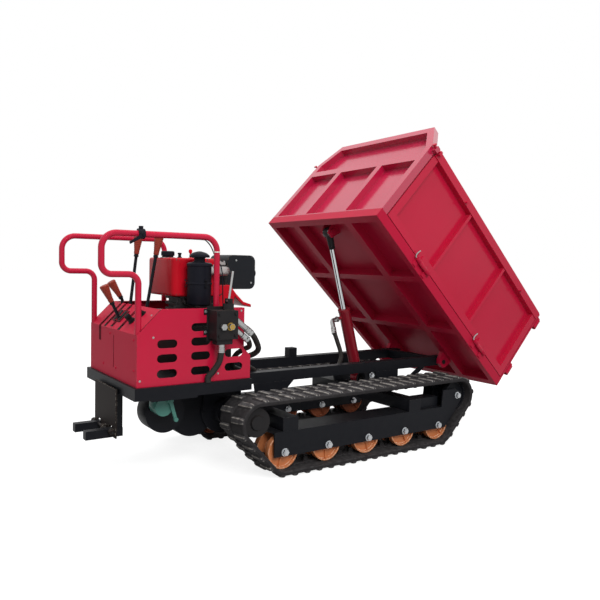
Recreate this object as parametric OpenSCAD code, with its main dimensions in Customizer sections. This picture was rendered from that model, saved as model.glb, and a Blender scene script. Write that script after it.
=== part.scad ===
// Tracked mini dumper: tipping bed with drop sides, rubber tracks, air-cooled engine,
// walk-behind levers and a folding operator step.
// Millimetres, +X to the front of the bed, +Y to the machine's left, +Z up.
// The ground is z = 0 and the middle bottom roller's axle is x = 0.

/* [Tracks] */
// distance between the middles of the two belts
track_gauge = 690; // [670:5:700]
// width of each belt
track_w = 200; // [190:2:210]
// distance between neighbouring bottom rollers
roller_pitch = 240; // [230:2:244]
// radius of a bottom roller
roller_r = 78; // [72:1:82]
// sprocket axle behind the middle roller
drive_x = 615; // [605:5:630]
// idler axle ahead of the middle roller
idler_x = 620; // [610:5:635]
// height of the sprocket and idler axles
wheel_z = 250; // [246:1:258]
// inner radius of the belt round sprocket and idler
turn_r = 76; // [72:1:78]
// thickness of the belt's carcass
belt_t = 18; // [15:1:20]
// height of the ground lugs
lug_h = 10; // [8:0.5:12]
// links in one belt
link_count = 47; // [45:1:49]
// height of the guide horns inside the belt
horn_h = 24; // [16:1:26]
// radius of the roller axles
axle_r = 10; // [8:0.5:12]
// thickness of the track frame plates
plate_t = 8; // [6:1:10]

/* [Frame] */
// clear width between the two main rails
rail_gap = 300; // [290:5:310]
// width of a main rail
rail_w = 50; // [40:2:50]
// height of a main rail
rail_h = 50; // [46:1:56]
// top of the main rails
rail_top = 425; // [420:1:432]
// half width of the rear tray
tray_half = 310; // [306:1:320]
// rear end of the tray behind the middle roller
tray_rear = 1121; // [1117:1:1127]
// front end of the tray behind the middle roller
tray_front = 590; // [586:1:600]

/* [Bed] */
// length of the bed
bed_len = 1268; // [1240:2:1290]
// width of the bed over its rails
bed_w = 938; // [920:2:950]
// height of the side gates
side_h = 525; // [500:5:540]
// height of the headboard
head_h = 664; // [640:2:690]
// drop from the side gates' top to the headboard's corner cuts
head_cut_drop = 15; // [8:1:22]
// width of the headboard's corner cuts
head_cut_y = 94; // [70:2:110]
// depth of the headboard frame
head_d = 40; // [34:1:41]
// sheet thickness of the bed
bed_sheet = 4; // [3:0.5:5]
// height of the beams below the floor
floor_v = 45; // [41:1:50]
// tip angle of the stored pose
tip_angle = 43.7; // [40:0.1:45]
// tipping hinge ahead of the middle roller
hinge_x = 719; // [710:1:725]
// tipping hinge behind the bed's front edge
hinge_front = 194; // [180:1:200]
// gap between the lowered bed and the rails
bed_gap = 5; // [4:0.5:8]
// radius of the tipping hinge pin
tip_pin_r = 12.5; // [10:0.5:14]
// depth of a side gate's frame
gate_d = 33; // [28:1:34]
// border width of the gates
gate_border = 40; // [32:1:46]
// radius of the gate hinge pins
gate_pin_r = 5; // [4:0.5:6]

/* [Lift] */
// cylinder base pin ahead of the middle roller
lift_x = 275; // [270:1:285]
// height of the cylinder base pin
lift_z = 310; // [306:1:316]
// rod eye in front of the bed's rear edge
eye_u = 104; // [100:1:112]
// rod eye above the bed's bottom edge
eye_v = 14; // [10:0.5:15]
// radius of the lift barrel
barrel_r = 32; // [29:0.5:34]
// length of the lift barrel
barrel_len = 398; // [394:1:410]
// radius of the lift rod
rod_r = 13.5; // [11:0.5:15]
// radius of the rod eye
eye_r = 26; // [22:1:27]

/* [Cover] */
// half width of the engine cover
cover_half = 294; // [288:1:300]
// top of the engine cover
cover_top = 735; // [725:1:745]
// rear face of the cover behind the middle roller
cover_rear = 1108; // [1104:1:1112]
// front edge of the cover behind the middle roller
cover_front = 624; // [618:1:630]
// run and rise of the sloped console
console_run = 100; // [90:1:110]
// cover sheet thickness
cover_t = 2; // [1.5:0.5:3]
// length of a vent slot
vent_l = 87; // [70:1:88]
// height of a vent slot
vent_h = 34; // [24:1:36]

/* [Handles] */
// radius of the handle tube
tube_r = 12.5; // [11:0.5:14]
// height of the top rail of the handles
handle_top = 1034; // [1020:1:1050]
// height of the lower rail of the handles
handle_low = 875; // [860:1:885]
// rear upright of the handles behind the middle roller
handle_rear = 1245; // [1235:1:1250]
// stem of the handles behind the middle roller
handle_stem = 1098; // [1092:1:1102]
// front leg of the handles behind the middle roller
handle_leg = 754; // [748:1:760]
// bend radius of the upper corners
bend_r = 60; // [50:1:66]

/* [Levers] */
// height of the lever shaft
shaft_z = 560; // [550:1:570]
// lever shaft behind the middle roller
shaft_back = 1010; // [1006:1:1014]
// radius of the lever rods
lever_r = 7; // [5:0.5:8]
// length of the tall levers
tall_len = 480; // [460:2:500]
// length of the short levers
short_len = 288; // [275:1:300]
// length of a grip
grip_len = 78; // [65:1:85]

/* [Engine] */
// length of the fuel tank
tank_l = 220; // [200:2:225]
// width of the fuel tank
tank_w = 292; // [250:2:300]
// height of the fuel tank
tank_h = 170; // [150:2:180]
// radius of the air filter
filter_r = 53; // [48:0.5:54]
// height of the air filter's can
filter_h = 183; // [175:1:190]
// length of the muffler
muffler_l = 150; // [140:1:160]
// width of the muffler
muffler_w = 180; // [165:1:190]
// height of the muffler
muffler_h = 160; // [150:1:165]

/* [Step] */
// half width of the step plate
step_half = 137; // [130:1:150]
// height of the folded step plate
step_h = 206; // [190:1:210]
// distance between the middles of the step arms
step_gauge = 150; // [140:1:160]
// rear end of the step arms behind the middle roller
step_rear = 1246; // [1230:1:1250]

/* [Hidden] */
$fn = 48;
run_fit = 0.05;
wheel_gap = 1;
sheet_gap = 1;
gate_gap = 4;
hose_gap = 0.3;

// track path, inner face of the belt, counter-clockwise from the sprocket
roller_z = roller_r + wheel_gap + belt_t + lug_h;
centres = [[-drive_x, wheel_z], [-2 * roller_pitch, roller_z],
    [2 * roller_pitch, roller_z], [idler_x, wheel_z]];
radii = [turn_r, roller_r + wheel_gap, roller_r + wheel_gap, turn_r];
mid_g = belt_t / 2;
function nxt(i) = (i + 1) % 4;
function prv(i) = (i + 3) % 4;
function span(i) = norm(centres[nxt(i)] - centres[i]);
function along(i) = (centres[nxt(i)] - centres[i]) / span(i);
function lean(i) = (radii[i] - radii[nxt(i)]) / span(i);
function out_n(i) = along(i) * lean(i)
    + [along(i)[1], -along(i)[0]] * sqrt(1 - lean(i) * lean(i));
function heading(i) = atan2(out_n(i)[1], out_n(i)[0]);
function turn(i) = let (d = heading(i) - heading(prv(i))) d < 0 ? d + 360 : d;
function arc_len(i) = (radii[i] + mid_g) * turn(i) * PI / 180;
function run_len(i) = span(i) * sqrt(1 - lean(i) * lean(i));
pieces = [for (i = [0:3]) each [arc_len(i), run_len(i)]];
function total(v, i = 0) = i == len(v) ? 0 : v[i] + total(v, i + 1);
belt_len = total(pieces);
link = belt_len / link_count;
function locate(s, k = 0) = s <= pieces[k] || k == 7 ? [k, s] : locate(s - pieces[k], k + 1);
function on_arc(i, a, g) = centres[i] + (radii[i] + g) * [cos(a), sin(a)];
function on_run(i, s, g) = centres[i] + out_n(i) * (radii[i] + g) + [-out_n(i)[1], out_n(i)[0]] * s;
function wrap(s) = s < 0 ? s + belt_len : s >= belt_len ? s - belt_len : s;
function belt_at(s, g) = let (w = locate(wrap(s)), i = floor(w[0] / 2))
    w[0] % 2 == 0
        ? on_arc(i, heading(prv(i)) + w[1] / (radii[i] + mid_g) * 180 / PI, g)
        : on_run(i, w[1], g);

// belt outlines
lug_w = 30;
lug_slope = 4;
horn_w = 34;
horn_slope = 9;
arc_step = 5;
function plain(g) = [for (i = [0:3]) let (n = ceil(turn(i) / arc_step))
    for (k = [0:n]) on_arc(i, heading(prv(i)) + turn(i) * k / n, g)];
lug_rest = link - lug_w;
horn_rest = link - horn_w;
lug_shape = [[-lug_w / 2, belt_t], [-lug_w / 2 + lug_slope, belt_t + lug_h],
    [lug_w / 2 - lug_slope, belt_t + lug_h], [lug_w / 2, belt_t],
    [lug_w / 2 + lug_rest / 3, belt_t], [lug_w / 2 + lug_rest * 2 / 3, belt_t]];
horn_shape = [[-horn_w / 2, 0], [-horn_w / 2 + horn_slope, -horn_h],
    [horn_w / 2 - horn_slope, -horn_h], [horn_w / 2, 0],
    [horn_w / 2 + horn_rest / 3, 0], [horn_w / 2 + horn_rest * 2 / 3, 0]];
function toothed(shape, phase) = [for (j = [0:link_count - 1]) for (p = shape)
    belt_at((j + phase) * link + p[0], p[1])];

// track frame
roller_half = track_w * 0.3;
roller_slot = track_w * 0.15;
horn_in = 10;
horn_out = 22;
plate_in = roller_half + 3;
plate_out = plate_in + plate_t;
frame_top = roller_z + roller_r + 13;
frame_low = roller_z - 19;
frame_rear = 2 * roller_pitch + 53;
frame_front = idler_x - 12;
washer_r = axle_r + 8;
washer_t = 4;
nut_r = axle_r + 5;
nut_t = 12;
tension_half = 40;
tension_h = 52;
tension_r = 14;
hub_r = turn_r - horn_h - 6;
sprocket_disc = turn_r - 13;
teeth = 8;
tooth_half = 8;
shaft_r = 20;
stub_len = 56;
housing_r = 45;
housing_end = track_gauge / 2 - roller_half - 2;

// cross beams and rails
rail_in = rail_gap / 2;
rail_out = rail_in + rail_w;
rail_low = rail_top - rail_h;
rail_end = hinge_x + 22;
beam_h = 60;
beam_top = frame_top + beam_h;
beam_half = 40;
gusset_t = 12;
stop_x = [-81, -32];
stop_h = 48;
rear_beam_x = -450;
front_beam_x = lift_x + 35;
hinge_z = rail_top - 30;
tray_bar = 50;
mount_z = rail_low - 8;
deck_t = 8;
deck_top = rail_top + deck_t;

// step
step_tube = 36;
step_z = 187;
step_pin_z = step_z + step_tube - 8;
step_x = tray_rear + 10;
step_t = 6;
step_pin_x = step_x + step_t + 9;
step_pin_r = 6;
step_ring = 11;
step_low = step_z + 3;
hanger_w = 30;

// bed
hinge_u = bed_len - hinge_front;
hinge_v = hinge_z - rail_top - bed_gap;
bed_half = bed_w / 2;
side_rail = 34;
beam_in = 200.5;
beam_out = 250;
cross_u = [410, 806];
cross_w = 38;
post_w = 12;
gate_low = floor_v + bed_sheet + gate_gap;
gate_u0 = head_d + 7;
gate_u1 = bed_len - post_w - gate_gap;
gate_out = bed_half;
gate_in = bed_half - gate_d;
knuckle_r = gate_pin_r + 6;
gate_axis_y = bed_half + knuckle_r + sheet_gap;
gate_axis_v = floor_v - 5;
hinge_leaf = 6;
knuckle_u = [321, 933];
knuckle_l = 107;
rib_u = [437, 835];
rib_w = 16;
top_rail = 45;
top_out = 5;
front_half = gate_in - 9;
front_d = 28;
barrel_v = [101, 444];
socket_l = 58;
socket_r = 15;
socket_bore = 7;
hook_r = 6.5;
socket_u = bed_len + 21;
socket_y = bed_half - 14;
cheek_in = 23;
cheek_t = 10;
cheek_half = 36;
bracket_t = 24.5;
bracket_half = 34;
bolt_r = 6;
bolt_y = bed_half + 15;
head_cut_v = side_h - head_cut_drop;
bolt_v = head_cut_v - 10;
bolt_u0 = -4;
bolt_u1 = head_d + 6;
bolt_knob = 7;
housing_u = head_d - 24;
latch_out = bed_half + 26;

// lift
eye_rel = [eye_u - hinge_u, eye_v - hinge_v];
eye_x = hinge_x + eye_rel[0] * cos(tip_angle) + eye_rel[1] * sin(tip_angle);
eye_z = hinge_z - eye_rel[0] * sin(tip_angle) + eye_rel[1] * cos(tip_angle);
lift_len = norm([eye_x - lift_x, eye_z - lift_z]);
lift_lean = atan2(eye_x - lift_x, eye_z - lift_z);
stroke = lift_len - norm([hinge_x + eye_rel[0] - lift_x, hinge_z + eye_rel[1] - lift_z]);
base_pin_r = 12.5;
base_eye_r = 30;
base_half = 25;
lug_in = 27;
lug_t = 10;
bore_r = barrel_r - 5;
piston_l = 22;
gland_l = 16;
piston_z = barrel_len - gland_l - piston_l - 6;
cavity_z = piston_z - stroke - 15;
barrel_z = 42;
neck_x = 24;
neck_y = 20;
port_r = 9;
base_port_z = 72;
base_reach = barrel_r + 12;
top_port_z = barrel_len - 42;
top_reach = barrel_r + 34;
eye_half = 22;

// cover and console
side_in = cover_half - cover_t;
console_low = cover_top - console_run;
console_top_x = cover_rear - console_run;
lip_w = 28;
foot_front = tray_front + 1;
foot_z = rail_top + 101;
slot_y = [160, 101, 27, -73];
slot_w = 18;
slot_low_z = 570;
lever_tilt = [1.3, 6.6, -26, 9.8];
lever_knee = [-34, 0, 0, 0];
knee_neck = 24;
lever_long = [short_len, tall_len, short_len, tall_len];
hub_out = lever_r + 11;
shaft_pin_r = 10;
grip_r1 = lever_r + 4.5;
grip_r2 = lever_r + 10;
boot_half = 43;
boot_t = 4;
boot_run = 56;

// engine
tank_x0 = -880;
tank_y0 = -115;
tank_z = 775;
tank_top = tank_z + tank_h;
tank_round = 25;
cap_x = -845;
cap_y = 25;
cap_r = 30;
cap_h = 30;
case_x0 = -850;
case_x1 = -590;
case_half = 120;
case_top = 640;
head_x0 = -652;
head_x1 = -596;
head_y0 = -80;
head_y1 = 90;
head_top = 915;
filter_x = -784;
filter_y = tank_y0 - filter_r - 6;
filter_z = 742;
neck_r = 24;
filter_cap_r = 43;
elbow_r = 20;
elbow_z = 890;
elbow_y = -140;
elbow_bend = 30;
muffler_x = case_x1;
muffler_y = -70;
muffler_z = 805;
muffler_round = 30;
cowl_top = 826;
cowl_half = 110;
cowl_t = 12;
lip_z = 786;
lip_end_x = -482;
lip_t = 14;
pipe_y = 20;
pipe_z = 870;
pipe_r = 18;
barrel_x0 = -810;
barrel_half = 92;
fin_count = 5;
fin_first = 14;
fin_pitch = 26;
fin_d = 12;
fin_t = 10;
shelf_half = 32;
shelf_out = 40;
shelf_t = 6;

// valve
valve_x0 = -800;
valve_x1 = -700;
valve_z0 = 610;
valve_z1 = 730;
valve_y = -(cover_half + 81);
bracket_y = -(cover_half + 4);
spool_x = -722;
spool_y = -(cover_half + 36);
spool_r = 22;
spool_top = 756;
fork_z = 768;
fork_pin_r = 4;
valve_lever_len = 126;
plug_x = [-774, -737];
plug_z = 664;
plug_r = 14;
plug_t = 14;
fit_reach = 200;

// hoses and cable
handle_y = side_in - tube_r - 1.5;
hose_r = 10;
thin_r = 8;
tank_r = 13;
cable_r = 2.5;
hose_sides = 10;
hose_run_y = -(rail_in - 14);
clamp_x = -1089;
clamp_r = tube_r + 8;
clamp_w = 26;
base_port = [lift_x + base_port_z * sin(lift_lean), -base_reach - hose_gap,
    lift_z + base_port_z * cos(lift_lean)];
upper_port = [lift_x + top_port_z * sin(lift_lean) - (top_reach + hose_gap) * cos(lift_lean), 0,
    lift_z + top_port_z * cos(lift_lean) + (top_reach + hose_gap) * sin(lift_lean)];
base_start = [-645, -342, 650];
base_lead = [80, 6, -62];
upper_start = [-660, -336, 622];
upper_lead = [60, -4, -48];
tank_start = [-758, -338, 574];
tank_end_y = -(cover_half + tank_r + hose_gap);
route_base = [base_start + unit(base_lead) * hose_gap, [-609, -339, 622], [-572, -316, 582],
    [-553, -298, 550], [-558, -272, 527], [-585, -235, 505], [-580, -205, 478], [-550, -180, 462],
    [-515, -155, 446], [-480, hose_run_y - 1, 428], [-440, hose_run_y, 408],
    [-250, hose_run_y, 404], [0, hose_run_y, 404], [130, hose_run_y, 402], [200, -118, 392],
    [238, -96, 383], base_port - [0, 27, 0], base_port];
route_upper = [upper_start + unit(upper_lead) * hose_gap, [-630, -338, 598], [-604, -306, 567],
    [-612, -278, 552], [-628, -245, 530], [-632, -215, 500], [-622, -190, 466], [-590, -170, 448],
    [-560, -146, 436], [-535, hose_run_y, 405], [-490, hose_run_y, 380],
    [-250, hose_run_y, 378], [-20, hose_run_y, 378], [30, -112, 380], [65, -95, 405],
    [88, -85, 445], [90, -72, 480], [86, -48, 530], [80, -30, 575], [84, -14, 605],
    upper_port - [24 * cos(lift_lean), 0, -24 * sin(lift_lean)], upper_port];
route_tank = [tank_start - [0, 0, hose_gap], [-758, -338, 555], [-764, -330, 510],
    [-784, -317, 472], [-802, tank_end_y, 447], [-802, tank_end_y, rail_top + hose_gap]];
cable_z = handle_top - 11;
cable_y = -handle_y + 11;
leg_y = -handle_y + tube_r + cable_r + 1;
cable_route = [[clamp_x + clamp_w / 2 + hose_gap, cable_y, cable_z], [-900, cable_y, cable_z],
    [-815, cable_y, cable_z - 1], [-798, cable_y + 1, cable_z - 6], [-776, cable_y + 3, cable_z - 28],
    [-757, leg_y, cable_z - 63], [-743, leg_y, cable_z - 88], [-729, leg_y, cable_z - 105],
    [-721, leg_y, cable_z - 130], [-717, leg_y, cable_z - 172], [-716, leg_y - 5, cover_top + 25],
    [-716, leg_y - 8, cover_top + hose_gap]];

// gearbox and belt guard under the tray
gear_r = 110;
gear_half = 95;
input_at = [-762, 248];
input_r = 110;
guard_r = 88;
guard_at = [-925, mount_z - guard_r];
guard_y = [-150, -50];
pulley_at = [-865, 300];
pulley_r = 60;
shift_at = [-965, 322];
shift_r = 38;
shift_pin = [-941, 350];
shift_end = [25, -83];
shift_pin_r = 6;
shift_y = -232;

// shared shapes
module box(a, b) {
    translate(a) cube(b - a);
}

module rod_y(p, r, y0, y1) {
    translate([p[0], y0, p[1]]) rotate([-90, 0, 0]) cylinder(h = y1 - y0, r = r);
}

module rod_x(p, r, x0, x1) {
    translate([x0, p[0], p[1]]) rotate([0, 90, 0]) cylinder(h = x1 - x0, r = r);
}

module rod_z(p, r, z0, z1) {
    translate([p[0], p[1], z0]) cylinder(h = z1 - z0, r = r);
}

module slab_y(pts, y0, y1) {
    translate([0, y1, 0]) rotate([90, 0, 0]) linear_extrude(y1 - y0) polygon(pts);
}

module slab_x(pts, x0, x1) {
    translate([x0, 0, 0]) rotate([90, 0, 90]) linear_extrude(x1 - x0) polygon(pts);
}

module mirror_left() {
    mirror([0, 1, 0]) children();
}

module both_sides() {
    children();
    mirror_left() children();
}

module in_bed() {
    translate([hinge_x, 0, hinge_z]) rotate([0, tip_angle, 0])
        translate([-hinge_u, 0, -hinge_v]) children();
}

module in_lift() {
    translate([lift_x, 0, lift_z]) rotate([0, lift_lean, 0]) children();
}

module at_wheel(x, z) {
    translate([x, -track_gauge / 2, z]) rotate([-90, 0, 0]) children();
}

function round_rect(x0, y0, x1, y1, r) = [
    for (c = [[x1 - r, y1 - r, 0], [x0 + r, y1 - r, 90], [x0 + r, y0 + r, 180], [x1 - r, y0 + r, 270]])
        for (k = [0:6]) [c[0] + r * cos(c[2] + 15 * k), c[1] + r * sin(c[2] + 15 * k)]];

function stadium(x, z, l, h) = [
    for (k = [0:8]) [x + l / 2 - h / 2 + h / 2 * cos(-90 + 22.5 * k), z + h / 2 * sin(-90 + 22.5 * k)],
    for (k = [0:8]) [x - l / 2 + h / 2 + h / 2 * cos(90 + 22.5 * k), z + h / 2 * sin(90 + 22.5 * k)]];

// smooth tube along a route
function spline(p, i, t) = let (n = len(p) - 1, a = p[max(i - 1, 0)], b = p[i],
        c = p[min(i + 1, n)], d = p[min(i + 2, n)])
    0.5 * (2 * b + (c - a) * t + (2 * a - 5 * b + 4 * c - d) * t * t
        + (3 * b - a - 3 * c + d) * t * t * t);
function smooth(p, m) = [for (i = [0:len(p) - 2]) for (k = [0:m - 1]) spline(p, i, k / m),
    p[len(p) - 1]];
function unit(v) = v / norm(v);
function tangent(p, i) = unit(p[min(i + 1, len(p) - 1)] - p[max(i - 1, 0)]);
function ring(at, way, r, n, ref) = let (a = unit(cross(ref, way)), b = cross(way, a))
    [for (k = [0:n - 1]) at + r * (a * cos(360 * k / n) + b * sin(360 * k / n))];

module hose(route, r, ref, steps) {
    p = smooth(route, steps);
    m = len(p);
    n = hose_sides;
    end = len(route) - 1;
    ways = [for (i = [0:m - 1]) i == 0 ? unit(route[1] - route[0])
        : i == m - 1 ? unit(route[end] - route[end - 1]) : tangent(p, i)];
    pts = [for (i = [0:m - 1]) each ring(p[i], ways[i], r, n, ref)];
    sides = [for (i = [0:m - 2]) for (k = [0:n - 1]) let (q = (k + 1) % n)
        each [[i * n + k, i * n + n + k, i * n + q], [i * n + q, i * n + n + k, i * n + n + q]]];
    first = [for (k = [1:n - 2]) [0, k, k + 1]];
    last = [for (k = [1:n - 2]) [(m - 1) * n, (m - 1) * n + k + 1, (m - 1) * n + k]];
    polyhedron(points = pts, faces = concat(sides, first, last));
}

// tracks
module belt_slab(outer, inner, t0, t1) {
    n = len(outer);
    m = len(inner);
    translate([0, -track_gauge / 2 + t1, 0]) rotate([90, 0, 0]) linear_extrude(t1 - t0)
        polygon(points = concat(outer, inner),
            paths = [[for (i = [0:n - 1]) i], [for (i = [0:m - 1]) n + i]]);
}

module belt() {
    near = toothed(lug_shape, 0.3);
    far = toothed(lug_shape, 0.8);
    horns = toothed(horn_shape, 0.3);
    smooth_in = plain(0);
    color("#3A3533") {
        belt_slab(near, smooth_in, -track_w / 2, -horn_out);
        belt_slab(near, horns, -horn_out, -horn_in);
        belt_slab(plain(belt_t), smooth_in, -horn_in, horn_in);
        belt_slab(far, horns, horn_in, horn_out);
        belt_slab(far, smooth_in, horn_out, track_w / 2);
    }
}

module wheel(r, hub, bore) {
    rim = r - 6;
    dish = 14;
    w = roller_half;
    s = roller_slot;
    rotate_extrude() polygon([[bore, w], [axle_r + 18, w], [axle_r + 21, w - dish],
        [rim - 3, w - dish], [rim, w], [r, w], [r, s], [hub, s], [hub, -s], [r, -s], [r, -w],
        [rim, -w], [rim - 3, dish - w], [axle_r + 21, dish - w], [axle_r + 18, -w], [bore, -w]]);
}

module roller(i) {
    color("#D0702C") at_wheel((i - 3) * roller_pitch, roller_z)
        wheel(roller_r, axle_r + 28, axle_r + run_fit);
}

module idler() {
    color("#26282A") at_wheel(idler_x, wheel_z)
        wheel(turn_r - wheel_gap, axle_r + 28, axle_r + run_fit);
}

module sprocket() {
    w = roller_half - 2;
    color("#2B2D30") at_wheel(-drive_x, wheel_z) {
        rotate_extrude() polygon([[0, w + stub_len], [shaft_r, w + stub_len], [shaft_r, w],
            [sprocket_disc, w], [sprocket_disc, w - 10], [hub_r, w - 14], [hub_r, 14 - w],
            [sprocket_disc, 10 - w], [sprocket_disc, -w], [34, -w], [30, -w - 8], [0, -w - 8]]);
        translate([0, 0, -tooth_half]) linear_extrude(2 * tooth_half) union() {
            for (k = [0:teeth - 1]) rotate(360 / teeth * k)
                polygon([[hub_r - 6, -15], [turn_r - wheel_gap - 2, -7],
                    [turn_r - wheel_gap - 2, 7], [hub_r - 6, 15]]);
        }
    }
}

module side_plate() {
    p = [[-frame_rear, frame_low], [frame_rear, frame_low], [frame_front, frame_low + 77],
        [idler_x + 34, wheel_z - 24], [idler_x + 34, wheel_z + 16], [idler_x - 20, wheel_z + 35],
        [idler_x - 105, wheel_z + 35], [idler_x - 115, frame_top], [-frame_rear, frame_top]];
    difference() {
        linear_extrude(plate_t) polygon(p);
        for (i = [-2:2]) translate([i * roller_pitch, roller_z, -1])
            cylinder(h = plate_t + 2, r = axle_r + run_fit);
        translate([idler_x, wheel_z, -1]) cylinder(h = plate_t + 2, r = axle_r + run_fit);
    }
}

module track_frame() {
    mid = -track_gauge / 2;
    color("#26282A") {
        for (y = [mid - plate_in, mid + plate_out]) translate([0, y, 0]) rotate([90, 0, 0]) side_plate();
        box([-frame_rear, mid - plate_in, frame_top - plate_t], [idler_x - 115, mid + plate_in, frame_top]);
        box([front_beam_x + beam_half + sheet_gap, mid - tension_half, frame_top],
            [idler_x - 115, mid + tension_half, frame_top + tension_h]);
        rod_x([mid, frame_top + tension_h / 2], tension_r, idler_x - 120, idler_x - turn_r - 10);
    }
}

module axle(x, z) {
    at_wheel(x, z) {
        cylinder(h = 2 * (plate_out + washer_t + nut_t) + 6, r = axle_r, center = true);
        for (s = [-1, 1]) {
            translate([0, 0, s * (plate_out + washer_t / 2)])
                cylinder(h = washer_t, r = washer_r, center = true);
            translate([0, 0, s * (plate_out + washer_t + nut_t / 2)])
                cylinder(h = nut_t, r = nut_r, center = true, $fn = 6);
        }
    }
}

module axles() {
    color("#B9B6AE") both_sides() {
        for (i = [-2:2]) axle(i * roller_pitch, roller_z);
        axle(idler_x, wheel_z);
    }
}

// frame
module main_frame() {
    color("#26282A") {
        difference() {
            both_sides() box([-tray_front - tray_bar, -rail_out, rail_low], [rail_end, -rail_in, rail_top]);
            rod_y([hinge_x, hinge_z], tip_pin_r + run_fit, -rail_out - 1, rail_out + 1);
        }
        both_sides() box([-tray_rear, -tray_half, rail_low],
            [-tray_front, -tray_half + tray_bar, rail_top]);
        box([-tray_rear, -tray_half, rail_low], [-tray_rear + tray_bar, tray_half, rail_top]);
        box([-tray_front - tray_bar, -tray_half, rail_low], [-tray_front, tray_half, rail_top]);
        box([hinge_x - 80, -rail_in, rail_low], [hinge_x - 40, rail_in, rail_top]);
        box([-1050, -tray_half, mount_z], [-850, tray_half, rail_low]);
        box([stop_x[0], rail_in + 2, rail_top], [stop_x[1], rail_out - 2, rail_top + stop_h]);
        box([-tray_rear + 30, -side_in + 2, rail_top], [-tray_front - 10, side_in - 2, deck_top]);
        step_arms();
    }
}

module step_arms() {
    difference() {
        both_sides() translate([0, -step_gauge / 2, 0]) {
            box([-step_rear, -step_tube / 2, step_z], [-tray_rear + 31, step_tube / 2, step_z + step_tube]);
            box([-tray_rear - 5, -step_tube / 2 + 2, step_z + step_tube],
                [-tray_rear + hanger_w, step_tube / 2 - 2, rail_low]);
        }
        rod_y([-step_pin_x, step_pin_z], step_pin_r + run_fit, -step_half, step_half);
    }
}

module cross_beams() {
    end_y = track_gauge / 2 + plate_out;
    color("#26282A") {
        for (x = [rear_beam_x, front_beam_x])
            box([x - beam_half, -end_y, frame_top], [x + beam_half, end_y, beam_top]);
        both_sides() {
            box([rear_beam_x - 25, -rail_out, beam_top], [rear_beam_x + 25, -rail_in, rail_low]);
            slab_y([[rear_beam_x - beam_half, beam_top], [rear_beam_x + beam_half, beam_top],
                [rear_beam_x + 160, rail_low], [rear_beam_x - 60, rail_low]],
                -rail_out, -rail_out + gusset_t);
            slab_y([[front_beam_x - beam_half, beam_top], [front_beam_x + beam_half, beam_top],
                [front_beam_x + 82, beam_top + 8], [front_beam_x + 82, rail_low],
                [front_beam_x - 80, rail_low]], -rail_out, -rail_out + gusset_t);
            slab_y([[front_beam_x + 72, beam_top + 8], [front_beam_x + 125, beam_top + 8],
                [hinge_x - 121, rail_low], [hinge_x - 166, rail_low]], -rail_out, -rail_out + gusset_t);
            difference() {
                slab_y([[front_beam_x - beam_half, beam_top], [front_beam_x, beam_top],
                    [lift_x + 20, lift_z + 28], [lift_x - 20, lift_z + 28], [lift_x - 30, lift_z - 10]],
                    -lug_in - lug_t, -lug_in);
                rod_y([lift_x, lift_z], base_pin_r + run_fit, -lug_in - lug_t - 1, -lug_in + 1);
            }
        }
    }
}

module pivot_pins() {
    color("#B9B6AE") {
        rod_y([hinge_x, hinge_z], tip_pin_r, -rail_out - bracket_t - 4, rail_out + bracket_t + 4);
        rod_y([lift_x, lift_z], base_pin_r, -lug_in - lug_t - 8, lug_in + lug_t + 8);
        rod_y([-step_pin_x, step_pin_z], step_pin_r, -step_half + 4, step_half - 4);
    }
}

module gearbox() {
    color("#2A2C2F") {
        difference() {
            union() {
                rod_y([-drive_x, wheel_z], gear_r, -gear_half, gear_half);
                rod_y([-drive_x, wheel_z], housing_r, -housing_end, housing_end);
                rod_y([-drive_x, wheel_z], housing_r + 14, -150, 150);
                rod_y(input_at, input_r, -80, 70);
                box([-drive_x - 105, -gear_half - 10, wheel_z], [-drive_x + 90, gear_half + 10, rail_low]);
            }
            both_sides() rod_y([-drive_x, wheel_z], shaft_r + run_fit,
                -housing_end - 1, -housing_end + stub_len + 2);
        }
        rod_y(guard_at, guard_r, guard_y[0], guard_y[1]);
        box([guard_at[0] - 75, guard_y[0], guard_at[1]], [guard_at[0] + 75, guard_y[1], mount_z]);
        rod_y(pulley_at, pulley_r, guard_y[1], pulley_r);
        box([pulley_at[0] - 35, guard_y[1], pulley_at[1]], [pulley_at[0] + pulley_r, pulley_r, mount_z]);
        box([pulley_at[0] + 15, -40, 270], [pulley_at[0] + 65, 40, 350]);
    }
}

module shift_housing() {
    color("#3F7F70") {
        rod_y(shift_at, shift_r, shift_y, shift_y + 70);
        box([shift_at[0] - shift_r, shift_y + 7, shift_at[1]],
            [shift_at[0] + shift_r, shift_y + 67, mount_z]);
        rod_y(shift_pin, shift_pin_r, shift_y - 20, shift_y + 12);
    }
}

module shift_arm() {
    color("#5AA090") difference() {
        union() {
            rod_y(shift_pin, shift_pin_r + 7, shift_y - 14, shift_y - 2);
            translate([shift_pin[0], 0, shift_pin[1]])
                slab_y([[-8, -2], shift_end - [6, 2], shift_end + [6, 2], [8, 2]], shift_y - 12, shift_y - 4);
            rod_y(shift_pin + shift_end, 9, shift_y - 16, shift_y - 2);
        }
        rod_y(shift_pin, shift_pin_r + run_fit, shift_y - 28, shift_y + 12);
    }
}

// engine
module engine_block() {
    color("#4A4B4D") {
        box([case_x0, -case_half, deck_top], [case_x1, case_half, case_top]);
        box([barrel_x0, -barrel_half, case_top], [head_x0, barrel_half, tank_z]);
        for (k = [0:fin_count - 1]) translate([0, 0, case_top + fin_first + k * fin_pitch])
            box([barrel_x0 - fin_d, -barrel_half - fin_d, 0], [head_x0, barrel_half + fin_d, fin_t]);
        box([head_x0, head_y0, case_top], [head_x1, head_y1, head_top]);
        box([filter_x - shelf_half, filter_y - shelf_out, filter_z - shelf_t],
            [filter_x + shelf_half, -barrel_half, filter_z]);
    }
}

module fuel_tank() {
    color("#D01820") translate([0, 0, tank_z]) linear_extrude(tank_h)
        polygon(round_rect(tank_x0, tank_y0, tank_x0 + tank_l, tank_y0 + tank_w, tank_round));
}

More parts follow.
